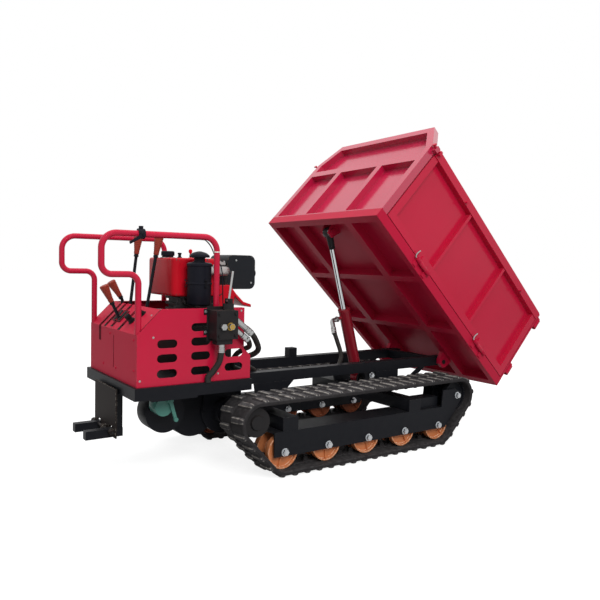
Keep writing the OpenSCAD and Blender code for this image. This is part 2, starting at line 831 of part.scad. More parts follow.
module fuel_cap() {
    color("#1E1F21") rod_z([cap_x, cap_y], cap_r, tank_top, tank_top + cap_h);
}

module air_filter() {
    color("#23242C") translate([filter_x, filter_y, filter_z]) rotate_extrude()
        polygon([[0, 0], [filter_r - 4, 0], [filter_r, 4], [filter_r, filter_h - 6],
            [filter_r - 4, filter_h], [neck_r, filter_h + 4], [neck_r, filter_h + 24],
            [filter_cap_r, filter_h + 26], [filter_cap_r, filter_h + 34], [16, filter_h + 48],
            [0, filter_h + 50]]);
}

module intake_elbow() {
    x1 = (head_x0 + head_x1) / 2 - elbow_bend;
    color("#B0A8A5") difference() {
        union() {
            rod_x([elbow_y, elbow_z], elbow_r, filter_x, x1);
            translate([x1, elbow_y + elbow_bend, elbow_z]) rotate([0, 0, -90])
                rotate_extrude(angle = 90) translate([elbow_bend, 0]) circle(r = elbow_r);
            rod_y([x1 + elbow_bend, elbow_z], elbow_r, elbow_y + elbow_bend, head_y0);
        }
        rod_z([filter_x, filter_y], filter_r + run_fit, filter_z - 1, filter_z + filter_h + 60);
    }
}

module muffler() {
    color("#22252B") {
        slab_y(round_rect(muffler_x, muffler_z, muffler_x + muffler_l, muffler_z + muffler_h,
            muffler_round), muffler_y, muffler_y + muffler_w);
        rod_x([pipe_y, pipe_z], pipe_r, head_x1, muffler_x + muffler_round / 3);
    }
}

module fan_shroud() {
    color("#D01820") {
        slab_y([[head_x1, case_top], [head_x1, cowl_top], [case_x1 + 27, lip_z], [case_x1 + 67, lip_z - 38],
            [lip_end_x, lip_z - 51], [lip_end_x, lip_z - 51 - lip_t], [case_x1 + 62, lip_z - 38 - lip_t],
            [case_x1 + 20, lip_z - lip_t], [case_x1 + cowl_t, lip_z - 51], [case_x1 + cowl_t, case_top]],
            -cowl_half, cowl_half);
        box([head_x0, -cowl_half, case_top], [head_x1, head_y0, cowl_top]);
        box([head_x0, head_y1, case_top], [head_x1, cowl_half, cowl_top]);
    }
}

// cover
vents = [[-980, 595], [-980, 536], [-980, 474], [-831, 658], [-831, 598], [-831, 538], [-831, 476],
    [-674, 541], [-674, 481]];

module cover_side() {
    outline = [[-cover_rear, rail_top], [-foot_front, rail_top], [-foot_front, foot_z],
        [-cover_front, foot_z + 30], [-cover_front, cover_top], [-console_top_x, cover_top],
        [-cover_rear, console_low]];
    color("#BE2538") {
        difference() {
            slab_y(outline, -cover_half, -side_in);
            for (v = vents) slab_y(stadium(v[0], v[1], vent_l, vent_h), -cover_half - 1, -side_in + 1);
        }
        box([-console_top_x, -side_in, cover_top - cover_t], [-cover_front, -side_in + lip_w, cover_top]);
    }
}

module console() {
    k = cover_t * sqrt(2);
    color("#BE2538") {
        difference() {
            slab_y([[-cover_rear, rail_top], [-cover_rear + cover_t, rail_top],
                [-cover_rear + cover_t, console_low + cover_t - k], [-console_top_x, cover_top - k],
                [-console_top_x, cover_top], [-cover_rear, console_low]], -side_in, side_in);
            for (y = slot_y) box([-cover_rear + 12, y - slot_w / 2, console_low - 30],
                [-console_top_x + 10, y + slot_w / 2, cover_top + 10]);
            box([-cover_rear - 10, slot_y[0] - slot_w / 2, slot_low_z],
                [-cover_rear + 14, slot_y[0] + slot_w / 2, cover_top]);
        }
        difference() {
            translate([-cover_rear + console_run / 2, slot_y[2], cover_top - console_run / 2])
                rotate([0, -45, 0]) box([-boot_run / 2, -boot_half, 0], [boot_run / 2, boot_half, boot_t]);
            box([-cover_rear, slot_y[2] - slot_w / 2, console_low],
                [-console_top_x, slot_y[2] + slot_w / 2, cover_top + 20]);
        }
        rod_y([-shaft_back, shaft_z], shaft_pin_r, -side_in, side_in);
    }
}

// handles
module bend(c, r, a0) {
    translate([c[0], -handle_y, c[1]]) rotate([90, 0, 0]) rotate([0, 0, a0])
        rotate_extrude(angle = 90) translate([r, 0]) circle(r = tube_r);
}

module tube_up(x, z0, z1) {
    rod_z([x, -handle_y], tube_r, z0, z1);
}

module tube_along(z, x0, x1) {
    rod_x([-handle_y, z], tube_r, x0, x1);
}

module handle() {
    low_r = 40;
    color("#BE2538") difference() {
        union() {
            tube_up(-handle_stem, console_low - 40, handle_low - low_r);
            bend([-handle_stem - low_r, handle_low - low_r], low_r, 0);
            tube_along(handle_low, -handle_rear + low_r, -handle_stem - low_r);
            bend([-handle_rear + low_r, handle_low + low_r], low_r, 180);
            tube_up(-handle_rear, handle_low + low_r, handle_top - bend_r);
            bend([-handle_rear + bend_r, handle_top - bend_r], bend_r, 90);
            tube_along(handle_top, -handle_rear + bend_r, -handle_leg - bend_r);
            bend([-handle_leg - bend_r, handle_top - bend_r], bend_r, 0);
            tube_up(-handle_leg, cover_top, handle_top - bend_r);
        }
        slab_y([[-cover_rear - 60, console_low - 60], [-console_top_x, cover_top],
            [-console_top_x, console_low - 60]], -side_in, 0);
    }
}

module throttle_clamp() {
    color("#1E1F21") difference() {
        union() {
            rod_x([-handle_y, handle_top], clamp_r, clamp_x - clamp_w / 2, clamp_x + clamp_w / 2);
            rod_z([clamp_x, -handle_y], 9, handle_top + tube_r + 4, handle_top + tube_r + 18);
            rod_y([clamp_x, handle_top - 6], 4, -handle_y - clamp_r - 10, -handle_y - clamp_r + 6);
        }
        rod_x([-handle_y, handle_top], tube_r + run_fit, clamp_x - clamp_w, clamp_x + clamp_w);
    }
}

module throttle_lever() {
    y1 = -handle_y - clamp_r - 1;
    pin = [clamp_x, handle_top - 6];
    color("#1E1F21") difference() {
        union() {
            rod_y(pin, 11, y1 - 6, y1);
            slab_y([[pin[0] - 3, pin[1] + 6], [pin[0] - 56, pin[1] - 27], [pin[0] - 52, pin[1] - 36],
                [pin[0] + 4, pin[1] - 6]], y1 - 6, y1);
        }
        rod_y(pin, 4 + run_fit, y1 - 20, y1 + 10);
    }
}

module throttle_cable() {
    color("#1A1A1B") hose(cable_route, cable_r, [0, 1, 0.2], 2);
}

// levers
module lever(i) {
    knee = lever_long[i] - grip_len - knee_neck;
    color("#1F1F20") translate([-shaft_back, slot_y[i], shaft_z])
        rotate([0, lever_tilt[i], 0]) difference() {
        union() {
            rotate([90, 0, 0]) cylinder(h = 2 * lever_r + 4, r = hub_out, center = true);
            cylinder(h = knee, r = lever_r);
            translate([0, 0, knee]) sphere(r = lever_r + 1.5);
            translate([0, 0, knee]) rotate([0, lever_knee[i], 0]) {
                cylinder(h = knee_neck, r = lever_r);
                translate([0, 0, knee_neck]) cylinder(h = grip_len, r1 = grip_r1, r2 = grip_r2);
            }
        }
        rotate([90, 0, 0]) cylinder(h = 4 * lever_r, r = shaft_pin_r + run_fit, center = true);
    }
}

// valve
module valve_body() {
    color("#2A2626") {
        box([valve_x0 - 6, bracket_y, valve_z0 - 12], [valve_x1 + 8, -cover_half, valve_z1 + 14]);
        box([valve_x0, valve_y, valve_z0], [valve_x1, bracket_y, valve_z1]);
        rod_z([spool_x, spool_y], spool_r, valve_z1, spool_top);
        for (s = [-1, 1]) box([spool_x - 11, spool_y + s * 12 - 4, spool_top],
            [spool_x + 11, spool_y + s * 12 + 4, fork_z + 10]);
        rod_y([spool_x, fork_z], fork_pin_r, spool_y - 20, spool_y + 20);
        box([valve_x0 + 10, valve_y + 14, valve_z0 - 22], [valve_x1 - 18, valve_y + 58, valve_z0]);
    }
}

module valve_lever() {
    color("#B9B6AE") translate([spool_x, spool_y, fork_z]) rotate([0, 8, 0]) difference() {
        union() {
            rotate([90, 0, 0]) cylinder(h = 15, r = 9, center = true);
            cylinder(h = valve_lever_len, r = 5);
        }
        rotate([90, 0, 0]) cylinder(h = 30, r = fork_pin_r + run_fit, center = true);
    }
}

module spigot(a, b, r) {
    d = b - a;
    translate(a) rotate([0, acos(d[2] / norm(d)), atan2(d[1], d[0])]) cylinder(h = norm(d), r = r);
}

module fitting_room() {
    box([valve_x1, valve_y - fit_reach, valve_z0 - fit_reach],
        [valve_x1 + fit_reach, valve_y + fit_reach, valve_z1 + fit_reach]);
}

module valve_fittings() {
    color("#B9B6AE") {
        for (x = plug_x) {
            rod_y([x, plug_z], plug_r - 3, valve_y - 6, valve_y);
            translate([x, valve_y - 6, plug_z]) rotate([90, 0, 0])
                cylinder(h = plug_t, r = plug_r, $fn = 6);
        }
        intersection() {
            spigot(base_start - base_lead, base_start, hose_r + 3);
            fitting_room();
        }
        intersection() {
            spigot(upper_start - upper_lead, upper_start, thin_r + 3);
            fitting_room();
        }
        rod_z(tank_start, tank_r + 1, tank_start[2], valve_z0 - 22);
    }
}

module hose_base() {
    color("#2B2624") hose(route_base, hose_r, [0, 0.3, 1], 2);
}

module hose_upper() {
    color("#2B2624") hose(route_upper, thin_r, [0.3, 1, 0.2], 2);
}

module hose_tank() {
    color("#2B2624") hose(route_tank, tank_r, [0, 1, 0], 2);
}

// lift
module lift_barrel() {
    top = barrel_len;
    color("#8E1F2C") in_lift() {
        difference() {
            union() {
                rotate([90, 0, 0]) cylinder(h = 2 * base_half, r = base_eye_r, center = true);
                box([-neck_x, -neck_y, 0], [neck_x, neck_y, barrel_z + 2]);
                translate([0, 0, barrel_z]) cylinder(h = top - barrel_z, r = barrel_r);
                translate([0, 0, top - gland_l]) cylinder(h = gland_l, r = barrel_r + 2);
                translate([0, 0, base_port_z]) rotate([90, 0, 0]) cylinder(h = base_reach, r = port_r);
                translate([0, 0, top_port_z]) rotate([0, -90, 0]) cylinder(h = top_reach, r = port_r);
            }
            rotate([90, 0, 0]) cylinder(h = 4 * base_half, r = base_pin_r + run_fit, center = true);
            translate([0, 0, cavity_z]) cylinder(h = top - gland_l - cavity_z, r = bore_r);
            translate([0, 0, top - gland_l - 1]) cylinder(h = gland_l + 2, r = rod_r + run_fit);
        }
    }
}

module lift_rod() {
    color("#C9CBCC") in_lift() {
        translate([0, 0, piston_z]) cylinder(h = piston_l, r = bore_r - run_fit);
        translate([0, 0, piston_z + 1]) cylinder(h = lift_len - piston_z - 2, r = rod_r);
        translate([0, 0, lift_len]) rotate([90, 0, 0]) cylinder(h = 2 * eye_half, r = eye_r, center = true);
    }
}

// bed
module gate_hinge(u) {
    third = knuckle_l / 4;
    for (a = [[0, third - 0.3], [3 * third + 0.3, knuckle_l]]) {
        rod_x([-gate_axis_y, gate_axis_v], knuckle_r, u + a[0], u + a[1]);
        box([u + a[0], -bed_half - hinge_leaf, 6], [u + a[1], -bed_half, gate_axis_v]);
    }
    rod_x([-gate_axis_y, gate_axis_v], gate_pin_r, u - 8, u + knuckle_l + 8);
}

module bed_floor() {
    color("#B82843") in_bed() {
        box([0, -bed_half, floor_v], [bed_len, bed_half, floor_v + bed_sheet]);
        box([0, -bed_half, 0], [head_d, bed_half, floor_v]);
        box([bed_len - 40, -bed_half, 0], [bed_len, bed_half, floor_v]);
        for (u = cross_u) box([u, -bed_half, 0], [u + cross_w, bed_half, floor_v]);
        both_sides() {
            box([0, -bed_half, 0], [bed_len, -bed_half + side_rail, floor_v]);
            box([head_d, -beam_out, 0], [bed_len - 40, -beam_in, floor_v]);
            box([bed_len - post_w, -bed_half, floor_v], [bed_len - sheet_gap, -gate_in + 7, side_h]);
            for (u = knuckle_u) gate_hinge(u);
            for (v = barrel_v) difference() {
                union() {
                    rod_z([socket_u, -socket_y], socket_r, v, v + socket_l);
                    box([bed_len - 2, -socket_y - 5, v + 4], [socket_u, -socket_y + 5, v + socket_l - 4]);
                }
                rod_z([socket_u, -socket_y], socket_bore, v - 1, v + socket_l + 1);
            }
            slab_y([[eye_u - cheek_half, floor_v], [eye_u - 18, eye_v - 24], [eye_u + 18, eye_v - 24],
                [eye_u + cheek_half, floor_v]], -cheek_in - cheek_t, -cheek_in);
            rod_y([eye_u, eye_v], 16, -cheek_in - cheek_t - 8, -cheek_in - cheek_t);
            difference() {
                slab_y([[hinge_u - 60, floor_v], [hinge_u - bracket_half, hinge_v - 10],
                    [hinge_u - 18, hinge_v - 28], [hinge_u + 18, hinge_v - 28],
                    [hinge_u + bracket_half, hinge_v - 10], [hinge_u + 60, floor_v]],
                    -rail_out - bracket_t, -rail_out - 0.5);
                rod_y([hinge_u, hinge_v], tip_pin_r + run_fit, -rail_out - 40, -rail_out + 5);
            }
        }
    }
}

// corner of the headboard's inner panel, offset from the cut edge by the border
cut_run = head_h - head_cut_v;
cut_len = norm([head_cut_y, cut_run]);
cut_n = [-cut_run / cut_len, -head_cut_y / cut_len];
function cut_line_v(y) = let (p = [bed_half, head_cut_v] + cut_n * gate_border)
    p[1] + (p[0] - y) * cut_run / head_cut_y;
function cut_line_y(v) = let (p = [bed_half, head_cut_v] + cut_n * gate_border)
    p[0] - (v - p[1]) * head_cut_y / cut_run;
mid_band = 397;
mid_band_h = 43;
head_rib_y = 170;
head_rib_w = 40;
head_low = floor_v + bed_sheet;

module headboard() {
    a = bed_half - gate_border;
    t = head_h - gate_border;
    outline = [[-bed_half, head_low], [bed_half, head_low], [bed_half, head_cut_v],
        [bed_half - head_cut_y, head_h], [head_cut_y - bed_half, head_h], [-bed_half, head_cut_v]];
    upper = [[-a, mid_band + mid_band_h], [a, mid_band + mid_band_h], [a, cut_line_v(a)],
        [cut_line_y(t), t], [-cut_line_y(t), t], [-a, cut_line_v(a)]];
    half_rib = head_rib_w / 2;
    lows = [[-a, -head_rib_y - half_rib], [-head_rib_y + half_rib, head_rib_y - half_rib],
        [head_rib_y + half_rib, a]];
    color("#B82843") in_bed() {
        difference() {
            slab_x(outline, 0, head_d);
            slab_x(upper, -1, head_d - bed_sheet);
            for (w = lows) box([-1, w[0], head_low + 6], [head_d - bed_sheet, w[1], mid_band]);
        }
        both_sides() difference() {
            box([housing_u, -latch_out, bolt_v - 21], [head_d - 2, -bed_half, bolt_v + 10]);
            rod_x([-bolt_y, bolt_v], bolt_r + run_fit, -10, head_d + 10);
        }
    }
}

module side_gate() {
    third = knuckle_l / 4;
    edges = [gate_u0 + gate_border, rib_u[0], rib_u[0] + rib_w, rib_u[1], rib_u[1] + rib_w,
        gate_u1 - gate_border];
    color("#B82843") in_bed() difference() {
        union() {
            difference() {
                box([gate_u0, -gate_out, gate_low], [gate_u1, -gate_in, side_h]);
                for (k = [0, 2, 4]) box([edges[k], -gate_out - 1, gate_low + gate_border],
                    [edges[k + 1], -gate_in - bed_sheet, side_h - top_rail]);
            }
            box([gate_u0, -gate_out - top_out, side_h - top_rail], [gate_u1, -gate_out, side_h]);
            for (u = knuckle_u) {
                rod_x([-gate_axis_y, gate_axis_v], knuckle_r, u + third, u + 3 * third);
                box([u + third, -gate_out - sheet_gap - hinge_leaf, gate_axis_v],
                    [u + 3 * third, -gate_out - sheet_gap, gate_low + 30]);
                box([u + third, -gate_out - sheet_gap - 1, gate_low + sheet_gap],
                    [u + 3 * third, -gate_out + 1, gate_low + 30]);
            }
            for (u = [362, 1019]) rod_y([u, side_h - top_rail + 6], 5, -gate_out - 22, -gate_out + 8);
            box([gate_u0 + 3, -latch_out, bolt_v - 12], [gate_u0 + 16, -gate_out - top_out, bolt_v + 12]);
        }
        rod_x([-gate_axis_y, gate_axis_v], gate_pin_r + run_fit, 0, bed_len);
        rod_x([-bolt_y, bolt_v], bolt_r + 0.5, 0, gate_u0 + 30);
    }
}

module front_gate() {
    u0 = bed_len - front_d;
    color("#B82843") in_bed() {
        difference() {
            box([u0, -front_half, gate_low], [bed_len, front_half, side_h]);
            for (s = [-1, 0, 1])
                box([u0 + bed_sheet, (0.64 * s - 0.28) * front_half, gate_low + gate_border],
                    [bed_len + 1, (0.64 * s + 0.28) * front_half, side_h - top_rail]);
        }
        both_sides() for (v = barrel_v) {
            rod_z([socket_u, -socket_y], hook_r, v + 6, v + socket_l + 12);
            box([bed_len, -socket_y - hook_r, v + socket_l + 2],
                [socket_u + hook_r, -front_half + 40, v + socket_l + 12]);
        }
    }
}

module latch_bolt() {
    color("#B82843") in_bed() {
        rod_x([-bolt_y, bolt_v], bolt_r, bolt_u0, bolt_u1);
        box([bolt_u0, -bolt_y - 14, bolt_v - 5], [bolt_u0 + bolt_knob, -bolt_y, bolt_v + 5]);
    }
}

// step
module step_plate() {
    z0 = step_low;
    slot_half = step_tube / 2 + 3;
    color("#3A3230") difference() {
        union() {
            box([-step_x - step_t, -step_half, z0], [-step_x, step_half, z0 + step_h]);
            for (y = [-step_half + 8, -22, step_half - 36]) {
                rod_y([-step_pin_x, step_pin_z], step_ring, y, y + 28);
                box([-step_pin_x, y, step_pin_z], [-step_x - step_t, y + 28, step_pin_z + step_ring]);
            }
        }
        both_sides() box([-step_x - step_t - 1, -step_gauge / 2 - slot_half, z0 - 1],
            [-step_x + 1, -step_gauge / 2 + slot_half, step_z + step_tube + 10]);
        rod_y([-step_pin_x, step_pin_z], step_pin_r + run_fit, -step_half - 1, step_half + 1);
    }
}

main_frame();
cross_beams();
track_frame();  // track_frame_right
mirror_left() track_frame();  // track_frame_left
belt();  // belt_right
mirror_left() belt();  // belt_left
axles();
roller(1);  // roller_right_1
roller(2);  // roller_right_2
roller(3);  // roller_right_3
roller(4);  // roller_right_4
roller(5);  // roller_right_5
mirror_left() roller(1);  // roller_left_1
mirror_left() roller(2);  // roller_left_2
mirror_left() roller(3);  // roller_left_3
mirror_left() roller(4);  // roller_left_4
mirror_left() roller(5);  // roller_left_5
sprocket();  // sprocket_right
mirror_left() sprocket();  // sprocket_left
idler();  // idler_right
mirror_left() idler();  // idler_left
gearbox();
shift_housing();
shift_arm();
engine_block();
fuel_tank();
fuel_cap();
air_filter();
intake_elbow();
muffler();
fan_shroud();
cover_side();  // cover_right
mirror_left() cover_side();  // cover_left
console();
handle();  // handle_right
mirror_left() handle();  // handle_left
throttle_clamp();
throttle_lever();
throttle_cable();
lever(0);  // lever_1
lever(1);  // lever_2
lever(2);  // lever_3
lever(3);  // lever_4
valve_body();
valve_lever();
valve_fittings();
hose_base();
hose_upper();
hose_tank();
lift_barrel();
lift_rod();
pivot_pins();
bed_floor();
headboard();
side_gate();  // side_gate_right
mirror_left() side_gate();  // side_gate_left
front_gate();
latch_bolt();  // latch_right
mirror_left() latch_bolt();  // latch_left
step_plate();
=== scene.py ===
import math

import bmesh
import bpy
from mathutils import Matrix, Vector


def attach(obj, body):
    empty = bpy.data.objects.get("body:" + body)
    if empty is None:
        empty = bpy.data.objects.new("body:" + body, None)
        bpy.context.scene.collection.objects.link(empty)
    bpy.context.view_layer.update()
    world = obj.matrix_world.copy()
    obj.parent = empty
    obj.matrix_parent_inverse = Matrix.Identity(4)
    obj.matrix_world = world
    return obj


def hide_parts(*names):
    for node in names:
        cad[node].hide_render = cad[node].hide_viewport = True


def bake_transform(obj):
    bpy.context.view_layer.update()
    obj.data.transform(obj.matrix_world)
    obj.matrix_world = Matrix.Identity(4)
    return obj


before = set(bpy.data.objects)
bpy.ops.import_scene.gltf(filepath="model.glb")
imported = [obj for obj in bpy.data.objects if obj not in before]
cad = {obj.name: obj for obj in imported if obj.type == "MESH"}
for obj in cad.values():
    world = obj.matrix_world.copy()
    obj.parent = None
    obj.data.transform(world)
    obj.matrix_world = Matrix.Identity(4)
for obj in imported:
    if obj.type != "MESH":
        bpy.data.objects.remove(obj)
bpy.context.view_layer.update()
scene = bpy.context.scene

# lengths are in metres, except where a name or a comment says millimetres

# ways in the part's frame: the front gate is ahead and the machine's left is across
AHEAD, BACK = Vector((1, 0, 0)), Vector((-1, 0, 0))
ACROSS, TO_RIGHT = Vector((0, 1, 0)), Vector((0, -1, 0))
UP = Vector((0, 0, 1))


def heading(angle):
    """Way in the x z plane, by its angle in radians from straight up towards the front."""
    return Vector((math.sin(angle), 0, math.cos(angle)))


def spoke(angle):
    """Way in a wheel's plane, by its angle in degrees from straight ahead."""
    a = math.radians(angle)
    return Vector((math.cos(a), 0, math.sin(a)))


# camera, as fitted to the photograph

PHOTO_PX, FOCAL_PX, SENSOR_MM, FAR_CLIP = 600, 641.8, 36, 60
EYE = (-2.0235, -2.7110, 0.9292)
YAW, PITCH, ROLL = math.radians(35.0), math.radians(-3.2), math.radians(1.3)


def camera():
    """A camera with the photograph's place, turn and angle of view."""
    forward = Vector((math.sin(YAW) * math.cos(PITCH), math.cos(YAW) * math.cos(PITCH),
                      math.sin(PITCH)))
    level = Vector((math.cos(YAW), -math.sin(YAW), 0))
    upright = level.cross(forward)
    right = level * math.cos(ROLL) + upright * math.sin(ROLL)
    above = upright * math.cos(ROLL) - level * math.sin(ROLL)
    lens = bpy.data.cameras.new("camera")
    lens.sensor_width = SENSOR_MM
    lens.lens = FOCAL_PX / PHOTO_PX * SENSOR_MM
    lens.clip_end = FAR_CLIP
    eye = bpy.data.objects.new("camera", lens)
    turn = Matrix((right, above, -forward)).transposed().to_4x4()
    eye.matrix_world = Matrix.Translation(EYE) @ turn
    scene.collection.objects.link(eye)
    scene.camera = eye


# finishes

NOISE, MIX = "ShaderNodeTexNoise", "ShaderNodeMix"
RANGE, MATHS = "ShaderNodeMapRange", "ShaderNodeMath"


def lin(code):
    """sRGB hex to linear colour."""
    parts = [int(code[i:i + 2], 16) / 255 for i in (1, 3, 5)]
    return [c / 12.92 if c <= 0.04045 else ((c + 0.055) / 1.055) ** 2.4 for c in parts] + [1]


def add(tree, kind, inputs=None, **settings):
    """Adds a node; an input is a value or (node, output)."""
    made = tree.nodes.new(kind)
    for key, value in settings.items():
        setattr(made, key, value)
    for key, value in (inputs or {}).items():
        if isinstance(value, tuple) and isinstance(value[0], bpy.types.Node):
            tree.links.new(value[0].outputs[value[1]], made.inputs[key])
        else:
            made.inputs[key].default_value = value
    return made


def empty_tree(holder):
    """The cleared node tree of a material or a world."""
    holder.use_nodes = True
    holder.node_tree.nodes.clear()
    return holder.node_tree


def blank(name):
    """A new material, its tree and the place on the piece that its patterns read."""
    mat = bpy.data.materials.new(name)
    tree = empty_tree(mat)
    return mat, tree, (add(tree, "ShaderNodeTexCoord"), "Object")


def close(tree, shader):
    """Ends a material's tree in its shader."""
    add(tree, "ShaderNodeOutputMaterial", {"Surface": (shader, "BSDF")})


def settled(tree, grit, share, band, level, least):
    """Share of dust on a face: patchy, and thickest where the face lies flat."""
    faces = add(tree, "ShaderNodeNewGeometry")
    tilt = add(tree, "ShaderNodeSeparateXYZ", {0: (faces, "Normal")})
    lying = add(tree, RANGE, {0: (tilt, "Z"), 1: level, 2: 1.0, 3: least, 4: 1.0})
    film = add(tree, RANGE, {0: (grit, "Fac"), 1: band[0], 2: band[1], 3: 0.0, 4: share})
    return add(tree, MATHS, {0: (film, 0), 1: (lying, 0)}, operation="MULTIPLY")


def rubbed(tree, grit, share, band):
    """Share of wear on a face: patchy, and only where the face carries the edge mark."""
    rim = add(tree, "ShaderNodeAttribute", attribute_name="edge")
    patches = add(tree, RANGE, {0: (grit, "Fac"), 1: band[0], 2: band[1], 3: 0.0, 4: share})
    return add(tree, MATHS, {0: (patches, 0), 1: (rim, "Fac")}, operation="MULTIPLY")


def coated_steel(name, colour, shade, dust, rough, dust_share, coat=0.0, shine=0.2,
                 bare="#4A4644", chips=0.55):
    """Paint on steel: patchy tone, orange peel, dust on upward faces and paint chipped on edges."""
    patch_mm, grit_mm, nick_mm, peel_mm = 280, 35, 12, 2.5
    chip_band, dulling = 0.08, 0.35
    mat, tree, place = blank(name)
    patch = add(tree, NOISE, {"Vector": place, "Scale": 1000 / patch_mm, "Detail": 4.0,
                              "Roughness": 0.6})
    grit = add(tree, NOISE, {"Vector": place, "Scale": 1000 / grit_mm, "Detail": 8.0,
                             "Roughness": 0.72})
    nicks = add(tree, NOISE, {"Vector": place, "Scale": 1000 / nick_mm, "Detail": 6.0,
                              "Roughness": 0.7})
    peel = add(tree, NOISE, {"Vector": place, "Scale": 1000 / peel_mm, "Detail": 2.0})
    film = settled(tree, grit, dust_share, band=(0.38, 0.78), level=0.1, least=0.16)
    worn = rubbed(tree, nicks, 1.0, band=(chips, chips + chip_band))
    tone = add(tree, MIX, {0: (patch, "Fac"), 6: lin(colour), 7: lin(shade)}, data_type="RGBA")
    dusty = add(tree, MIX, {0: (film, 0), 6: (tone, 2), 7: lin(dust)}, data_type="RGBA")
    final = add(tree, MIX, {0: (worn, 0), 6: (dusty, 2), 7: lin(bare)}, data_type="RGBA")
    dull = add(tree, RANGE, {0: (film, 0), 1: 0.0, 2: 0.6, 3: rough, 4: min(rough + dulling, 1)})
    skin = add(tree, "ShaderNodeBump", {"Height": (peel, "Fac"), "Strength": 0.10,
                                        "Distance": 0.0004})
    close(tree, add(tree, "ShaderNodeBsdfPrincipled", {
        "Base Color": (final, 2), "Roughness": (dull, 0), "IOR": 1.5, "Specular IOR Level": shine,
        "Coat Weight": coat, "Coat Roughness": 0.12, "Normal": (skin, "Normal")}))
    return mat


def bare_metal(name, colour, shade, rough, spread, grain_mm, stain_share, stain="#5A4A3C"):
    """Uncoated metal: cloudy tone, a fine grain in the gloss and some brown staining."""
    # the grain is drawn coarser than the real one, so that it shows
    cloud_mm, spot_mm = 30, 11
    mat, tree, place = blank(name)
    cloud = add(tree, NOISE, {"Vector": place, "Scale": 1000 / cloud_mm, "Detail": 5.0})
    spots = add(tree, NOISE, {"Vector": place, "Scale": 1000 / spot_mm, "Detail": 7.0,
                              "Roughness": 0.75})
    grain = add(tree, NOISE, {"Vector": place, "Scale": 1000 / grain_mm, "Detail": 3.0})
    rust = add(tree, RANGE, {0: (spots, "Fac"), 1: 0.55, 2: 0.75, 3: 0.0, 4: stain_share})
    tone = add(tree, MIX, {0: (cloud, "Fac"), 6: lin(colour), 7: lin(shade)}, data_type="RGBA")
    final = add(tree, MIX, {0: (rust, 0), 6: (tone, 2), 7: lin(stain)}, data_type="RGBA")
    gloss = add(tree, RANGE, {0: (grain, "Fac"), 1: 0.3, 2: 0.7, 3: rough, 4: rough + spread})
    skin = add(tree, "ShaderNodeBump", {"Height": (grain, "Fac"), "Strength": 0.15,
                                        "Distance": 0.0002})
    close(tree, add(tree, "ShaderNodeBsdfPrincipled", {
        "Base Color": (final, 2), "Metallic": 1.0, "Roughness": (gloss, 0),
        "Normal": (skin, "Normal")}))
    return mat


def moulded(name, colour, shade, dust, rough, dust_share, grain_mm, shine=0.25, scuff_share=0.0):
    """Rubber or plastic from a mould: fine matt grain, dry dust on top and scuffed edges."""
    # the grain is drawn coarser than the real one, so that it shows
    cloud_mm, powder_mm, dulling, scuff = 60, 20, 0.25, "#A39D95"
    mat, tree, place = blank(name)
    cloud = add(tree, NOISE, {"Vector": place, "Scale": 1000 / cloud_mm, "Detail": 6.0,
                              "Roughness": 0.65})
    powder = add(tree, NOISE, {"Vector": place, "Scale": 1000 / powder_mm, "Detail": 8.0,
                               "Roughness": 0.7})
    grain = add(tree, NOISE, {"Vector": place, "Scale": 1000 / grain_mm, "Detail": 3.0})
    film = settled(tree, powder, dust_share, band=(0.35, 0.7), level=0.0, least=0.25)
    worn = rubbed(tree, powder, scuff_share, band=(0.35, 0.6))
    tone = add(tree, MIX, {0: (cloud, "Fac"), 6: lin(colour), 7: lin(shade)}, data_type="RGBA")
    dusty = add(tree, MIX, {0: (film, 0), 6: (tone, 2), 7: lin(dust)}, data_type="RGBA")
    final = add(tree, MIX, {0: (worn, 0), 6: (dusty, 2), 7: lin(scuff)}, data_type="RGBA")
    dull = add(tree, RANGE, {0: (film, 0), 1: 0.0, 2: 0.6, 3: rough, 4: min(rough + dulling, 1)})
    skin = add(tree, "ShaderNodeBump", {"Height": (grain, "Fac"), "Strength": 0.2,
                                        "Distance": 0.0003})
    close(tree, add(tree, "ShaderNodeBsdfPrincipled", {
        "Base Color": (final, 2), "Roughness": (dull, 0), "IOR": 1.5, "Specular IOR Level": shine,
        "Normal": (skin, "Normal")}))
    return mat


# powder coat baked on folded sheet: smooth, half gloss, a trace of orange peel and grey dust
RED = coated_steel("red_powder_coat", "#BC1538", "#AC1232", "#9A7E78", rough=0.22, dust_share=0.08,
                   coat=0.10)
# the same coat on the bed's headboard as a copy of its own, deeper and glossier: a painted sheen
# that stands in for the pinkish sky reflection on that face
SHEEN_RED = coated_steel("red_powder_coat_polished", "#B2143E", "#A21138", "#9A7E78", rough=0.2,
                            dust_share=0.05, coat=0.4, shine=0.7)
# the same coat where hands and boots have dulled it
DULL_RED = coated_steel("red_powder_coat_dulled", "#C2183A", "#B41535", "#9A7E78", rough=0.5,
                        dust_share=0.12, shine=0.1)
# the same coat under the bed, matt with dried mud
UNDER_RED = coated_steel("red_powder_coat_underside", "#B41436", "#A21130", "#6E504E", rough=0.42,
                         dust_share=0.15, shine=0.14)
# darker enamel on the ram's honed barrel
BARREL_RED = coated_steel("ram_barrel_enamel", "#8A1626", "#72101D", "#8A6A64", rough=0.3,
                          dust_share=0.12, coat=0.1, chips=0.5)
# brushed enamel on welded bars: satin black that greys with road dust
BLACK = coated_steel("black_enamel", "#101116", "#16171B", "#5A5652", rough=0.42, dust_share=0.16,
                     shine=0.12, bare="#5E5A55")
# sprayed enamel on cast wheels: warm orange, dusty in the dish
ORANGE = coated_steel("orange_enamel", "#C87C4E", "#B86C40", "#B0907A", rough=0.45, dust_share=0.4,
                      coat=0.08, bare="#E0C0A4", chips=0.45)
# the same enamel made darker and browner as painted shade, for the far track's rollers that lie in
# shadow
SHADED_ORANGE = coated_steel("orange_enamel_browned", "#9A5638", "#84452C", "#7A5E50", rough=0.55,
                              dust_share=0.45, bare="#B08068", chips=0.5)
